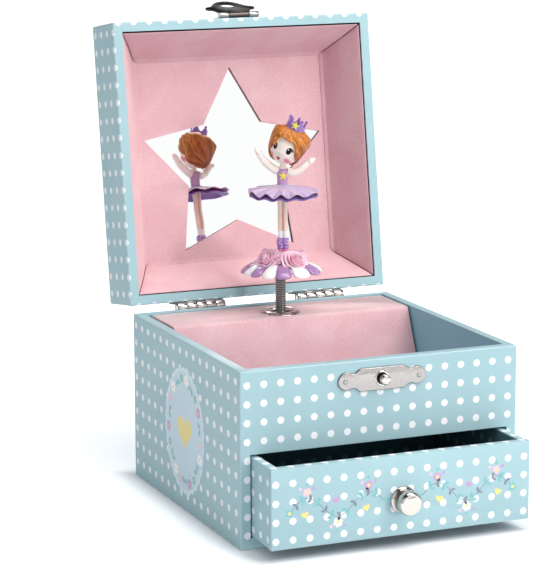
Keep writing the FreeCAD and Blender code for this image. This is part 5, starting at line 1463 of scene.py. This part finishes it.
def makeHair():
    hair = addSphere("hair", 1.0, 168, 112)
    middle, power = Vector(hairSet["middle"]), hairSet["boxy"]
    rim = [(x - middle.x, z - middle.z) for x, z in hairSet["outline"]]
    part = (Vector(hairSet["part"]) - middle).normalized()
    side = part.cross(Vector((0, 1, 0))).normalized()
    front = part.cross(side)
    combs, grooves = [], []
    for point in hair.data.vertices:
        way = point.co.normalized()
        around = math.atan2(way.z, way.x)
        wide = sum(rimReach(rim, around + k * 0.05) for k in (-2, -1, 0, 1, 2)) / 5
        deep = hairSet["front"] if way.y < 0 else hairSet["back"]
        reach = ((math.hypot(way.x, way.z) / wide) ** power + (abs(way.y) / deep) ** power) ** (-1 / power)
        turn = math.atan2(way.dot(front), way.dot(side))
        fall = math.acos(max(-1.0, min(1.0, way.dot(part))))
        lock = math.sin(turn * 12 + 1.7 * math.sin(turn * 2) + 1.3 * math.sin(fall * 2.4))
        fine = math.sin(turn * 37 + 2.0 * math.sin(turn * 5))
        strength = min(1.0, fall / 0.5)
        reach += strength * (0.23 * lock + 0.05 * fine)
        outer = middle + way * reach
        # painted shade in the troughs between locks, growing away from the part
        grooves.append(0.02 + 0.34 * strength * max(0.0, -lock) + 0.55 * clamp((fall - 1.0) / 1.3))
        combs.append((turn * 4.2, fall * 0.55, 0.0))
        if outer.y < 1.5:      # sinks inside the head within the face's outline
            gap = outsideBy(outer.x, outer.z, hairSet["opening"])
            t = clamp((gap + 0.42) / 0.5)
            t = t * t * (3 - 2 * t)
            fade = clamp(1.5 - outer.y)
            inner = middle + way * reach * 0.52
            outer = inner.lerp(outer, 1 - (1 - t) * fade)
            outer.y -= 0.25 * math.exp(-((gap - 0.35) / 0.35) ** 2) * fade      # rolled edge of the fringe
        outer.z -= hairSet["nape"] * clamp((outer.y + 0.5) / 3.0) * clamp((1.5 - outer.z) / 5.0)
        point.co = outer * mm
    storeLayer(hair, "combMap", combs, "FLOAT_VECTOR")
    storeLayer(hair, "groove", grooves)
    smoothShade(hair, 80)
    paint(hair, makeHairPaint())
    seat(onHead(hair), "dancer", "doll_hair", "figure_hair")


makeHair()

crownSet = {
    "spot": (0.3, 0.2, 8.5),
    "turn": -8.0,
    "radius": 4.5,
    "flare": -0.10,
    "low": 3.0,
    "high": 6.0,
    "thick": 0.7,
    "points": 5,
    "bead": 0.72,
    "floor": [(0, 1.4), (3.9, 1.2), (4.0, 0.4), (0, 0.3)],
    # outer and inner radius, thickness and puff of the star, its height and backward lean in degrees
    "star": (2.25, 0.90, 0.32, 0.3),
    "starHeight": 3.25,
    "starLean": 5,
}


def crownPoint(u, v):
    turn = u * 2 * math.pi
    wave = abs(((u * crownSet["points"]) % 1.0) - 0.5) * 2
    top = crownSet["low"] + (crownSet["high"] - crownSet["low"]) * math.sin((1 - wave) * math.pi / 2) ** 2.2
    reach = crownSet["radius"] + crownSet["flare"] * v + 0.25 * math.exp(-((v * top - 0.3) / 0.35) ** 2)
    return (reach * math.sin(turn), -reach * math.cos(turn), top * v)


def makeCrown():
    band = shapeGrid("crownBand", 120, 10, crownPoint)
    # painted shade: darker along the foot of the band and lower down
    paintMask(band, "fold", lambda x, y, z: 0.65 if z < 0.55 else max(0.0, 0.30 - 0.06 * z))
    closeUp(band)
    makeThick(band, crownSet["thick"], -1.0)
    roundOff(band)
    pieces = [band]
    reach = crownSet["radius"] + crownSet["flare"] - 0.3
    for i in range(crownSet["points"]):
        turn = 2 * math.pi * (i + 0.5) / crownSet["points"]
        bead = addSphere("crownBead", crownSet["bead"], 16, 10)
        for point in bead.data.vertices:
            point.co.z *= 1.25
        paintMask(bead, "fold", lambda x, y, z: 0.0)
        pieces.append(putAt(bead, (reach * math.sin(turn), -reach * math.cos(turn), crownSet["high"] - 0.1)))
    # painted shade: the floor inside the crown is dark
    pieces.append(spinProfile("crownFloor", crownSet["floor"], 36, fold=0.9))
    crown = joinPieces(pieces, "crown")
    paint(crown, plastic["crownPurple"])
    smoothShade(crown)
    star = raisedStar("crownStar", *crownSet["star"])
    putAt(star, (0, -crownSet["radius"] - 0.20, crownSet["starHeight"]),
          (math.radians(crownSet["starLean"]), 0, 0))
    paint(star, plastic["starYellow"])
    seat(onHead(star, crownSet["spot"], crownSet["turn"]), "dancer", "doll_purple")
    seat(onHead(crown, crownSet["spot"], crownSet["turn"]), "dancer", "doll_purple", "figure_crown")


makeCrown()
print("head, hair and crown made")

# coil spring under the doll
coilSet = {"low": 71.4, "high": 99.6, "radius": 2.11, "wire": 0.80, "turns": 32, "bend": (76.9, 94.0)}


def makeCoil():
    deselectAll()
    start = (coilSet["radius"] * mm, 0, (coilSet["low"] + coilSet["wire"] / 2) * mm)
    bpy.ops.mesh.primitive_circle_add(vertices=12, radius=coilSet["wire"] / 2 * mm, location=start,
                                      rotation=(math.pi / 2, 0, 0))
    coil = namePiece("coilSpring")
    settle(coil)
    pitch = (coilSet["high"] - coilSet["low"] - coilSet["wire"]) / coilSet["turns"]
    useModifier(coil, "SCREW", angle=2 * math.pi, screw_offset=pitch * mm, iterations=coilSet["turns"],
                steps=28, render_steps=28, axis="Z", use_smooth_shade=True)
    openMesh(coil)
    bpy.ops.mesh.fill_holes(sides=0)      # wire ends
    closeMesh()
    faceOutwards(coil)
    putAt(coil, dollSet["axis"])
    smoothShade(coil)
    paint(coil, makeMetal("coilSteel", "A2A4A4", 0.13, 0.06))
    x, y = dollSet["axis"][:2]
    start, end = ((x * mm, y * mm, high * mm) for high in coilSet["bend"])
    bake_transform(coil)
    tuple(start)
    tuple(end)
    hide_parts("figure_spring")


makeCoil()

# rolled eyelet in the stage
eyeletSet = [(5.85, 74.2), (5.8, 75.6), (5.85, 76.6), (6.15, 77.25), (6.7, 77.62), (7.3, 77.7), (8.0, 77.55),
             (8.75, 77.15), (9.3, 76.75), (9.6, 76.42), (9.35, 76.3), (8.6, 76.35), (7.2, 76.4), (6.5, 76.2),
             (6.3, 75.6), (6.3, 74.2)]


def makeEyelet():
    eyelet = spinProfile("stageEyelet", eyeletSet + eyeletSet[:1], 64)
    roundOff(eyelet)
    putAt(eyelet, dollSet["axis"])
    smoothShade(eyelet)
    paint(eyelet, polishedNickel)
    seat(eyelet, "box", "nickel", "stage_grommet")


makeEyelet()


def turnForward(piece, spot):
    # a turned piece drawn along +Z is laid to point at -Y from its spot
    return putAt(piece, spot, (math.pi / 2, 0, 0))


def makeTwoTone(name, colour, deepColour, roughness, spread, bump, dull, findMask):
    # plated metal, painted dark as painted shade and dull where findMask(tree) marks it
    material, tree, sockets = newMaterial(name, colour, roughness, Metallic=1.0)
    mask = findMask(tree)
    shade = blendColour(tree, mask, tint(colour), tint(deepColour))
    finishMetal(tree, sockets, shade, roughness, spread, bump, calc(tree, "MULTIPLY", mask, dull))
    return material


def shadedRecessMask(tree):
    # painted shade and reflection in the recesses of the knob and the stud
    return limit(tree, readMask(tree, "recess"))


def shadedEdgeMask(tree):
    # edges of a sheet that faces forward, painted dark as painted shade
    flat = calc(tree, "ABSOLUTE", split(tree, readPlace(tree)[1])[1])
    return ramp(tree, flat, 0.35, 0.80, 1.0, 0.0)


def shadedLeafMask(tree):
    # leaves and knuckle ends of the hinges, by distance from the pin, painted dark as painted shade
    place, facing = readPlace(tree)
    pinY, pinZ = (v * mm for v in paperSet["lidPin"])
    out = vec(tree, "MULTIPLY", vec(tree, "SUBTRACT", place, (0, pinY, pinZ)), (0, 1, 1))
    leaf = ramp(tree, vec(tree, "LENGTH", out), 0.0025, 0.0028)
    across = calc(tree, "ABSOLUTE", split(tree, facing)[0])
    return calc(tree, "MAXIMUM", leaf, ramp(tree, across, 0.30, 0.65))


knobNickel = makeTwoTone("knobNickel", "D2CBC4", "4E453F", 0.08, 0.06, 0.03, 0.25, shadedRecessMask)
studNickel = makeTwoTone("studNickel", "D8D3CE", "3E3A38", 0.12, 0.06, 0.03, 0.25, shadedRecessMask)
plateNickel = makeTwoTone("plateNickel", "AFAAA8", "524D4B", 0.26, 0.14, 0.06, 0.0, shadedEdgeMask)
hingeNickel = makeTwoTone("hingeNickel", "D0CAC4", "37332F", 0.14, 0.08, 0.04, 0.2, shadedLeafMask)
# the hasp is darker than the other nickel: painted shade and reflection
haspMetal = makeMetal("haspMetal", "5A524E", 0.16, 0.08)

# drawer knob: stepped collar, waisted neck and a head with a flat face
knobSet = {
    "spot": (0.0, drawerSet["front"], 20.65),
    "neck": (2.7, 0.9),      # middle and half height of the neck, painted dark as painted shade and reflection
    "profile": [(0, 0), (6.0, 0), (6.0, 0.45), (5.9, 0.95), (5.6, 1.3), (5.2, 1.55), (5.0, 1.8), (4.9, 2.15),
                (4.4, 2.4), (3.9, 2.6), (3.65, 2.9), (3.7, 3.2), (4.1, 3.6), (4.7, 4.1), (5.15, 4.8),
                (5.36, 5.6), (5.4, 6.4), (5.34, 7.2), (5.12, 7.95), (4.75, 8.55), (4.3, 8.9), (4.05, 8.98),
                (3.9, 8.94), (3.75, 8.99), (2.3, 9.26), (1.0, 9.37), (0, 9.4)],
}


def makeKnob():
    knob = spinProfile("drawerKnob", knobSet["profile"], 64)
    middle, half = knobSet["neck"]
    paintMask(knob, "recess", lambda x, y, z: math.exp(-((z - middle) / half) ** 2))
    roundOff(knob)
    smoothShade(knob)
    paint(knob, knobNickel)
    seat(turnForward(knob, knobSet["spot"]), "drawer", "nickel", "drawer_knob")


makeKnob()

# catch on the front: plate with stepped shoulders, stud and two dimpled nails
catchSet = {
    "spot": (0.0, -65.7, 68.5),
    "thick": 0.9,
    # right half of the outline, from the top middle round to the right end
    "half": [(0, 5.0), (5, 5.0), (9.6, 5.0), (10.5, 4.85), (11.3, 4.3), (12.1, 3.65), (12.9, 3.25),
             (13.8, 3.15), (14.6, 3.4), (15.4, 3.72), (16.5, 3.85), (17.7, 3.7), (18.9, 3.15),
             (19.8, 2.25), (20.35, 1.1), (20.5, 0)],
    "stud": [(0, 0), (3.4, 0), (3.4, 0.2), (3.2, 0.38), (2.8, 0.42), (2.5, 0.3), (2.2, 0.32), (2.1, 0.8),
             (2.12, 1.8), (2.3, 2.5), (2.3, 3.3), (2.15, 3.8), (1.75, 4.12), (1.35, 4.18), (1.15, 4.0),
             (0.7, 4.02), (0.35, 4.15), (0, 4.18)],
    "nail": [(0, 0.22), (0.25, 0.36), (0.6, 0.40), (0.95, 0.26), (1.1, 0.0), (1.0, -0.3), (0, -0.3)],
    "nailsAt": (-17.3, 17.3),
}


def studShadedRecess(x, y, z):
    # painted shade low on the stud's post, beside its flange
    return 1.0 if 0.25 < z < 1.9 and math.hypot(x, y) < 2.75 else 0.0


def makeCatch():
    x, y, z = catchSet["spot"]
    face = y - catchSet["thick"]
    half = catchSet["half"]
    right = half + [(across, -up) for across, up in reversed(half[:-1])]
    left = [(-across, up) for across, up in reversed(right[1:-1])]
    plate = plateFrom("catchPlate", right + left, catchSet["thick"])
    softenEdges(plate, 0.35, 3, 50)
    smoothShade(plate, 50)
    paint(plate, plateNickel)
    seat(putAt(plate, catchSet["spot"]), "box", "nickel", "catch_plate")
    stud = spinProfile("catchStud", catchSet["stud"], 48)
    paintMask(stud, "recess", studShadedRecess)
    smoothShade(stud, 35)
    paint(stud, studNickel)
    seat(turnForward(stud, (x, face + 0.02, z)), "box", "nickel", "catch_stud")
    nails = [turnForward(spinProfile("catchNail", catchSet["nail"], 24), (x + across, face, z))
             for across in catchSet["nailsAt"]]
    joined = joinPieces(nails, "catchNails")
    smoothShade(joined, 50)
    paint(joined, satinNickel)
    seat(joined, "box", "nickel", "catch_nails")


makeCatch()

# hasp: lens-shaped leaf with two ears and an eye, folded back on its barrel
haspSet = {
    "pivot": (-67.3, 83.0),
    "folded": 158.0,
    "eye": 68.5,
    "eyeRadius": 2.9,
    "thick": 0.9,
    "back": 0.22,
    "barrel": (1.5, 0.72, 5.0),
    # right half of the outline, from the neck down
    "half": [(0, 82.6), (4.6, 82.6), (4.8, 81.2), (6.2, 80.0), (7.6, 78.6), (8.6, 76.6), (9.3, 74.6),
             (10.4, 73.9), (11.6, 73.7), (12.4, 72.8), (12.5, 71.8), (12.0, 70.8), (10.9, 70.3),
             (9.7, 70.1), (8.6, 69.0), (7.4, 67.2), (5.8, 65.2), (4.0, 63.5), (2.0, 62.6), (0, 62.3)],
}


def lidMatrix():
    # from the shut lid to the open one
    y, z = paperSet["lidPin"]
    pin = Matrix.Translation((0, y * mm, z * mm))
    return pin @ Matrix.Rotation(-math.radians(paperSet["lidTurn"]), 4, "X") @ pin.inverted()


def haspMatrix():
    # from the shut lid with the hasp down to the open lid with the hasp folded back
    y, z = haspSet["pivot"]
    home = Matrix.Translation((0, y * mm, z * mm))
    fold = home @ Matrix.Rotation(-math.radians(haspSet["folded"]), 4, "X") @ home.inverted()
    return lidMatrix() @ fold


def makeHasp():
    y, z = haspSet["pivot"]
    half = haspSet["half"]
    rim = half + [(-across, up) for across, up in reversed(half[1:-1])]
    turns = [2 * math.pi * i / len(rim) for i in range(len(rim))]
    hole = haspSet["eyeRadius"]
    eye = [(hole * 1.25 * math.sin(turn), haspSet["eye"] + hole * math.cos(turn)) for turn in turns]
    leaf = joinPieces([drawRing("haspLeaf", rim), drawRing("haspEye", eye)], "haspLeaf")
    openMesh(leaf)
    bpy.ops.mesh.bridge_edge_loops()
    closeMesh()
    pullForward(leaf, haspSet["thick"])
    putAt(leaf, (0, y + haspSet["back"], 0))
    softenEdges(leaf, 0.22, 2, 50)
    outer, inner, long = haspSet["barrel"]
    profile = [(inner, -long), (outer - 0.2, -long), (outer, 0.2 - long), (outer, long - 0.2),
               (outer - 0.2, long), (inner, long), (inner, -long)]
    barrel = spinProfile("haspBarrel", profile, 32)
    putAt(barrel, (0, y, z), (0, math.pi / 2, 0))
    hasp = joinPieces([leaf, barrel], "hasp")
    hasp.matrix_world = haspMatrix()
    settle(hasp)
    smoothShade(hasp, 40)
    paint(hasp, haspMetal)
    seat(hasp, "hasp", "nickel", "hasp_flap")


makeHasp()


def softCopy(nodeName, body, slot, width, *materials):
    # a copy of a CAD piece with its sharp edges rounded
    piece = copyPiece(nodes[nodeName], nodeName + "Soft")
    bpy.ops.object.parent_clear(type="CLEAR_KEEP_TRANSFORM")
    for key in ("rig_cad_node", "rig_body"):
        del piece[key]
    settle(piece)
    openMesh(piece)
    bpy.ops.mesh.remove_doubles(threshold=0.000002)
    bpy.ops.mesh.dissolve_limited(angle_limit=math.radians(2))
    closeMesh()
    faceOutwards(piece)
    softenEdges(piece, width, 2, 35)
    smoothShade(piece, 40)
    paint(piece, *materials)
    seat(piece, body, slot, nodeName)
    return piece


# body, slot, edge rounding and finish of the pieces kept in their CAD shape
softSet = {
    "box_hinge_leaves": ("box", "nickel", 0.16, hingeNickel),
    "lid_hinge_leaves": ("lid", "nickel", 0.16, hingeNickel),
    "hasp_bracket": ("lid", "nickel", 0.18, satinNickel),
    "winding_key": ("key", "nickel", 0.35, polishedNickel),
    "drawer_front": ("drawer", "drawer_board", 0.40, drawerPaper),
    "drawer_sides": ("drawer", "drawer_board", 0.40, drawerPaper),
    "drawer_back": ("drawer", "drawer_board", 0.40, drawerPaper),
}
soft = {nodeName: softCopy(nodeName, *values) for nodeName, values in softSet.items()}
for point in soft["drawer_sides"].data.vertices:      # side boards stand a little inside the front
    point.co.x *= 0.9945
print("fittings made")

# lid lining: four sloped flaps with a folded lip round the star panel, drawn on the shut lid
flapSet = {
    # distance of the rim edge at the right, hinge, left and front side
    "rims": (59.55, 60.45, 60.35, 60.15),
    "low": 77.75,
    "panel": 98.9,
    "lip": 47.2,
    "bend": 49.2,
    "card": 0.45,
    "mitre": 0.24,
    "bow": 0.30,
}


def flapLine(rim):
    # offset from the middle and height, from the lip to the rim
    lip, bend = flapSet["lip"], flapSet["bend"]
    high = flapSet["panel"] - flapSet["card"]
    line = [(lip, high - 0.02), (lip + 0.5, high - 0.10), (bend - 0.55, high - 0.16),
            (bend - 0.15, high - 0.28)]
    foot, top = bend + 0.12, high - 0.70      # where the slope begins
    for k in range(9):
        share = k / 8
        bow = flapSet["bow"] * math.sin(math.pi * share)
        line.append((foot + (rim - foot) * share - bow, top + (flapSet["low"] - top) * share - bow * 0.5))
    return line


def makeFlap(quarter):
    turn = quarter * math.pi / 2
    rims = flapSet["rims"]
    before, line, after = (flapLine(rims[(quarter + step) % 4]) for step in (-1, 0, 1))
    last = len(line) - 1

    def formula(u, v):
        k = min(int(v * last + 1e-6), last - 1)
        share = v * last - k
        out, high = Vector(line[k]).lerp(Vector(line[k + 1]), share)
        other = before if u < 0.5 else after
        reach = other[k][0] + (other[k + 1][0] - other[k][0]) * share - flapSet["mitre"]
        along = (u * 2 - 1) * reach
        high += 0.10 * math.sin(along * 0.11 + turn) * v * (1 - v) * 4
        across, ahead = math.cos(turn), math.sin(turn)
        return (out * across - along * ahead, out * ahead + along * across, high)

    flap = shapeGrid("liningFlap%d" % quarter, 36, last, formula)
    faceOutwards(flap)
    inwards = sum(face.normal.z * face.area for face in flap.data.polygons) < 0
    makeThick(flap, flapSet["card"], -1.0 if inwards else 1.0)
    closeUp(flap)
    softenEdges(flap, 0.12, 2, 60)
    return flap


def makeFlaps():
    flaps = [makeFlap(quarter) for quarter in range(4)]
    for flap, suede in zip(flaps, (shadedSuede, pinkSuede, pinkSuede, shadedSuede)):
        paint(flap, suede)      # painted shade: the right and front flaps take the darker copy of the lining
    lining = joinPieces(flaps, "lidLining")
    smoothShade(lining, 35)
    lining.matrix_world = lidMatrix()
    settle(lining)
    seat(lining, "lid", "pink_lining", "lid_flaps")


makeFlaps()
stageCover = softCopy("stage_cover", "box", "pink_lining", 0.5, pinkSuede, litTopSuede)
for face in stageCover.data.polygons:      # painted light: the level top takes a paler copy of the lining
    face.material_index = 1 if face.normal.z > 0.8 else 0
for point in stageCover.data.vertices:      # a dark gap beside each wall
    point.co.x *= 0.960 if point.co.x < 0 else 0.994


def makePanelSuede():
    # lining on card: the cut edge of the star is painted near-black, as painted shade
    material = pinkSuede.copy()
    material.name = "panelSuede"
    tree = material.node_tree
    sockets = tree.nodes["Principled BSDF"].inputs
    place, facing = readPlace(tree, lid=True)
    level = calc(tree, "ABSOLUTE", split(tree, facing)[2])
    shadedCutColour, coreLow, coreHigh = liningSet["core"]
    core = ramp(tree, split(tree, place)[2], coreLow * mm, coreHigh * mm)
    cut = calc(tree, "MULTIPLY", calc(tree, "LESS_THAN", level, 0.5), core)
    cloth = sockets["Base Color"].links[0].from_socket
    tree.links.new(blendColour(tree, cut, cloth, tint(shadedCutColour)), sockets["Base Color"])
    return material


def makeTurnedPaper():
    # lid walls: the cover paper turned in at the rim; the raw board behind the lining is painted dark grey,
    # as painted shade in the gap behind the flaps
    material, tree, sockets = newMaterial("turnedPaper", paperSet["sky"], 0.6, Specular_IOR_Level=0.35)
    place, facing = readPlace(tree, lid=True)
    bareShadeColour, bareLow, bareHigh = paperSet["bareInShade"]
    bareInShade = ramp(tree, split(tree, place)[2], bareLow * mm, bareHigh * mm)
    colour = blendColour(tree, bareInShade, tint(paperSet["sky"]), tint(bareShadeColour))
    coverPaper(tree, sockets, place, facing, colour, tint(paperSet["fold"]), 0.4, 0.6, 0.12, 0.00005)
    return material


paint(nodes["star_panel"], makePanelSuede())
turnedPaper = makeTurnedPaper()
for nodeName in ("lid_front_wall", "lid_back_wall", "lid_end_walls"):
    paint(nodes[nodeName], turnedPaper)
print("lining made")

# printed ornaments: flat shapes a hair proud of the paper, drawn in the XZ plane facing -Y
inkSet = {
    "teal": "7CBFC1", "purple": "C79CCB", "yellow": "F2DD86", "pink": "EFC4DC", "white": "FAFAFA",
    "stem": "7E8797", "badge": "CADFEA", "rim": "DDECF2",
}


def makeInk(ink):
    # printing ink on the paper: the paper's cloudiness and fibres show through
    material, tree, sockets = newPrint("ink" + ink.capitalize(), inkSet[ink])
    place, facing = readPlace(tree)
    thin = calc(tree, "MULTIPLY", ramp(tree, noise(tree, place, 900.0, 3.0), 0.45, 0.75), 0.18)
    colour = blendColour(tree, thin, tint(inkSet[ink]), tint(paperSet["dot"]))
    coverPaper(tree, sockets, place, facing, colour, colour, 0.0, paperSet["roughness"])
    return material


inks = {ink: makeInk(ink) for ink in inkSet}


def lineRound(count, formula):
    # closed outline through formula(turn) at equal turns
    return [formula(2 * math.pi * i / count) for i in range(count)]


def blossomLine(petals, size, depth=0.30):
    # outline of a flower with round petals
    def formula(turn):
        reach = size * (1 - depth + depth * abs(math.cos(turn * petals / 2)) ** 0.7)
        return (reach * math.sin(turn), reach * math.cos(turn))
    return lineRound(petals * 8, formula)


def leafLine(length, width):
    def formula(turn):
        along = 0.5 - 0.5 * math.cos(turn)
        return (width * math.sin(turn) * math.sin(math.pi * along ** 0.8) ** 0.35, length * along)
    return lineRound(20, formula)


def heartLine(size):
    def formula(turn):
        z = 13 * math.cos(turn) - 5 * math.cos(2 * turn) - 2 * math.cos(3 * turn) - math.cos(4 * turn)
        return (size * math.sin(turn) ** 3, z * size / 16)
    return lineRound(48, formula)


def roundLine(size):
    return lineRound(20, lambda turn: (size * math.sin(turn), size * math.cos(turn)))


def motif(name, outline, ink, proud=0.05):
    piece = plateFrom(name, outline, proud)
    paint(piece, inks[ink])
    return piece


def stamp(master, spot, turn=0.0, size=1.0):
    # a copy of a motif at its spot (x, z) on the sheet, turned in degrees
    piece = copyPiece(master, master.name + "Print")
    piece.location = (spot[0] * mm, 0, spot[1] * mm)
    piece.rotation_euler = (0, math.radians(turn), 0)
    piece.scale = (size, 1, size)
    return piece


def stemAlong(points, width):
    # a thin printed stem through the points
    stem = tubeAlong("vineStem", [(x, 0, z) for x, z in points], [width] * len(points), 1)
    for point in stem.data.vertices:
        point.co.y = -0.04 * mm if point.co.y < 0 else 0.0
    paint(stem, inks["stem"])
    return stem


# outline, ink and thickness of each motif
motifSet = {
    "blossomTeal": (blossomLine(5, 1.9), "teal"),
    "blossomPurple": (blossomLine(5, 1.9), "purple"),
    "blossomWhite": (blossomLine(6, 2.0), "white"),
    "blossomPink": (blossomLine(5, 1.8), "pink"),
    "heartYellow": (heartLine(1.6), "yellow"),
    "heartPurple": (heartLine(1.5), "purple"),
    "leafTeal": (leafLine(3.4, 0.95), "teal"),
    "leafStem": (leafLine(2.8, 0.70), "stem"),
    "beadYellow": (roundLine(0.75), "yellow", 0.07),
    "beadPink": (roundLine(0.60), "pink", 0.07),
    "beadPurple": (roundLine(0.55), "purple", 0.07),
    "beadTeal": (roundLine(0.60), "teal", 0.07),
}
motifs = {name: motif(name, *values) for name, values in motifSet.items()}


def stampAll(prints):
    # prints are (motif, spot, turn, size), the last two as wanted
    return [stamp(motifs[name], *values) for name, *values in prints]


# drawer front: a waving vine with paired leaves, blossoms at the crests and hearts in the hollows
vineSet = {
    "from": 9.0,
    "to": 52.0,
    "steps": 26,
    "middle": 21.5,
    "sway": 4.6,
    "wave": 28.0,
    "stem": 0.16,
    "leafLean": 52,
    # blossom and heart at each crest, from the middle outwards
    "crests": [("blossomPurple", "heartYellow"), ("blossomWhite", "heartPurple"),
               ("blossomPink", "heartYellow")],
    "beads": ("beadPink", "beadTeal", "beadPurple"),
}


def vineHeight(x):
    turn = 2 * math.pi * (abs(x) - vineSet["from"]) / vineSet["wave"]
    return vineSet["middle"] + vineSet["sway"] * math.sin(turn)


def vineHalf(side):
    steps = vineSet["steps"]
    places = [vineSet["from"] + (vineSet["to"] - vineSet["from"]) * k / steps for k in range(steps + 1)]
    path = [(side * x, vineHeight(x)) for x in places]
    prints = []
    for k in range(2, steps - 1, 2):      # paired leaves along the stem
        (x0, z0), (x1, z1) = path[k], path[k + 1]
        lean = math.degrees(math.atan2(x1 - x0, z1 - z0))
        leaf = "leafTeal" if k % 4 == 2 else "leafStem"
        prints += [(leaf, path[k], lean + vineSet["leafLean"] * hand, 0.85) for hand in (1, -1)]
    for k, (flower, heart) in enumerate(vineSet["crests"]):
        crest = side * (vineSet["from"] + vineSet["wave"] * (0.25 + 0.5 * k))
        up = -1 if k % 2 else 1
        spot = (crest, vineHeight(crest) + 2.6 * up)
        hollow = (crest + side, vineHeight(crest) - 7.0 * up)
        prints += [(flower, spot, 12 * k, 1.1), ("beadYellow", spot), (heart, hollow, side * 14, 1.05)]
        for j, bead in enumerate(vineSet["beads"]):
            x = crest + (j - 1) * 3.1
            prints.append((bead, (x, vineHeight(x) + (6.0 if j == 1 else 5.2) * up), 0, 1.2))
    prints += [("blossomTeal", path[-1], 20), ("beadYellow", path[-1]), ("leafTeal", path[0], -90 * side)]
    return [stemAlong(path, vineSet["stem"])] + stampAll(prints)


def makeVine():
    vine = joinPieces(vineHalf(-1) + vineHalf(1), "drawerVine")
    settle(vine)
    seat(putAt(vine, (0, drawerSet["front"] + 0.01, 0)), "drawer", "printed_paper")


# left side: a scalloped badge with a heart inside a ring of leaves and blossoms
badgeSet = {
    "spot": (-64.996, 0.0, 36.3),
    "half": (24.0, 29.0),
    "scallops": 30,
    "ring": 0.82,
    "motifs": 21,
    "thin": 0.3,
}


def ovalAt(turn, share=1.0):
    return (badgeSet["half"][0] * share * math.sin(turn), badgeSet["half"][1] * share * math.cos(turn))


def scallopAt(turn):
    return ovalAt(turn, 0.965 + 0.035 * abs(math.cos(turn * badgeSet["scallops"] / 2)))


def makeBadge():
    pieces = [
        motif("badgeField", lineRound(badgeSet["scallops"] * 8, scallopAt), "rim", 0.03),
        motif("badgeInner", lineRound(96, lambda turn: ovalAt(turn, 0.925)), "badge", 0.045),
        motif("badgeHeart", heartLine(8.4), "yellow", 0.06),
    ]
    prints = []
    for i in range(badgeSet["motifs"]):
        turn = 2 * math.pi * (i + 0.5) / badgeSet["motifs"]
        spot = ovalAt(turn, badgeSet["ring"])
        along = math.degrees(turn) + 90
        prints += (
            [("blossomPurple" if i % 2 else "blossomWhite", spot, 15 * i, 1.35), ("beadYellow", spot)],
            [("leafTeal", spot, along + 38, 1.2), ("leafTeal", spot, along + 142, 1.1), ("beadPink", spot)],
            [("blossomPink" if i % 2 else "blossomTeal", spot, 20 * i, 1.05), ("beadYellow", spot, 0, 0.8)],
        )[i % 3]
    badge = joinPieces(pieces + stampAll(prints), "sideBadge")
    settle(badge)
    for point in badge.data.vertices:      # as thin as a print
        point.co.y *= badgeSet["thin"]
    seat(putAt(badge, badgeSet["spot"], (0, 0, -math.pi / 2)), "box", "printed_paper")


makeVine()
makeBadge()
onlySelect(*motifs.values())
bpy.ops.object.delete()
print("prints made")
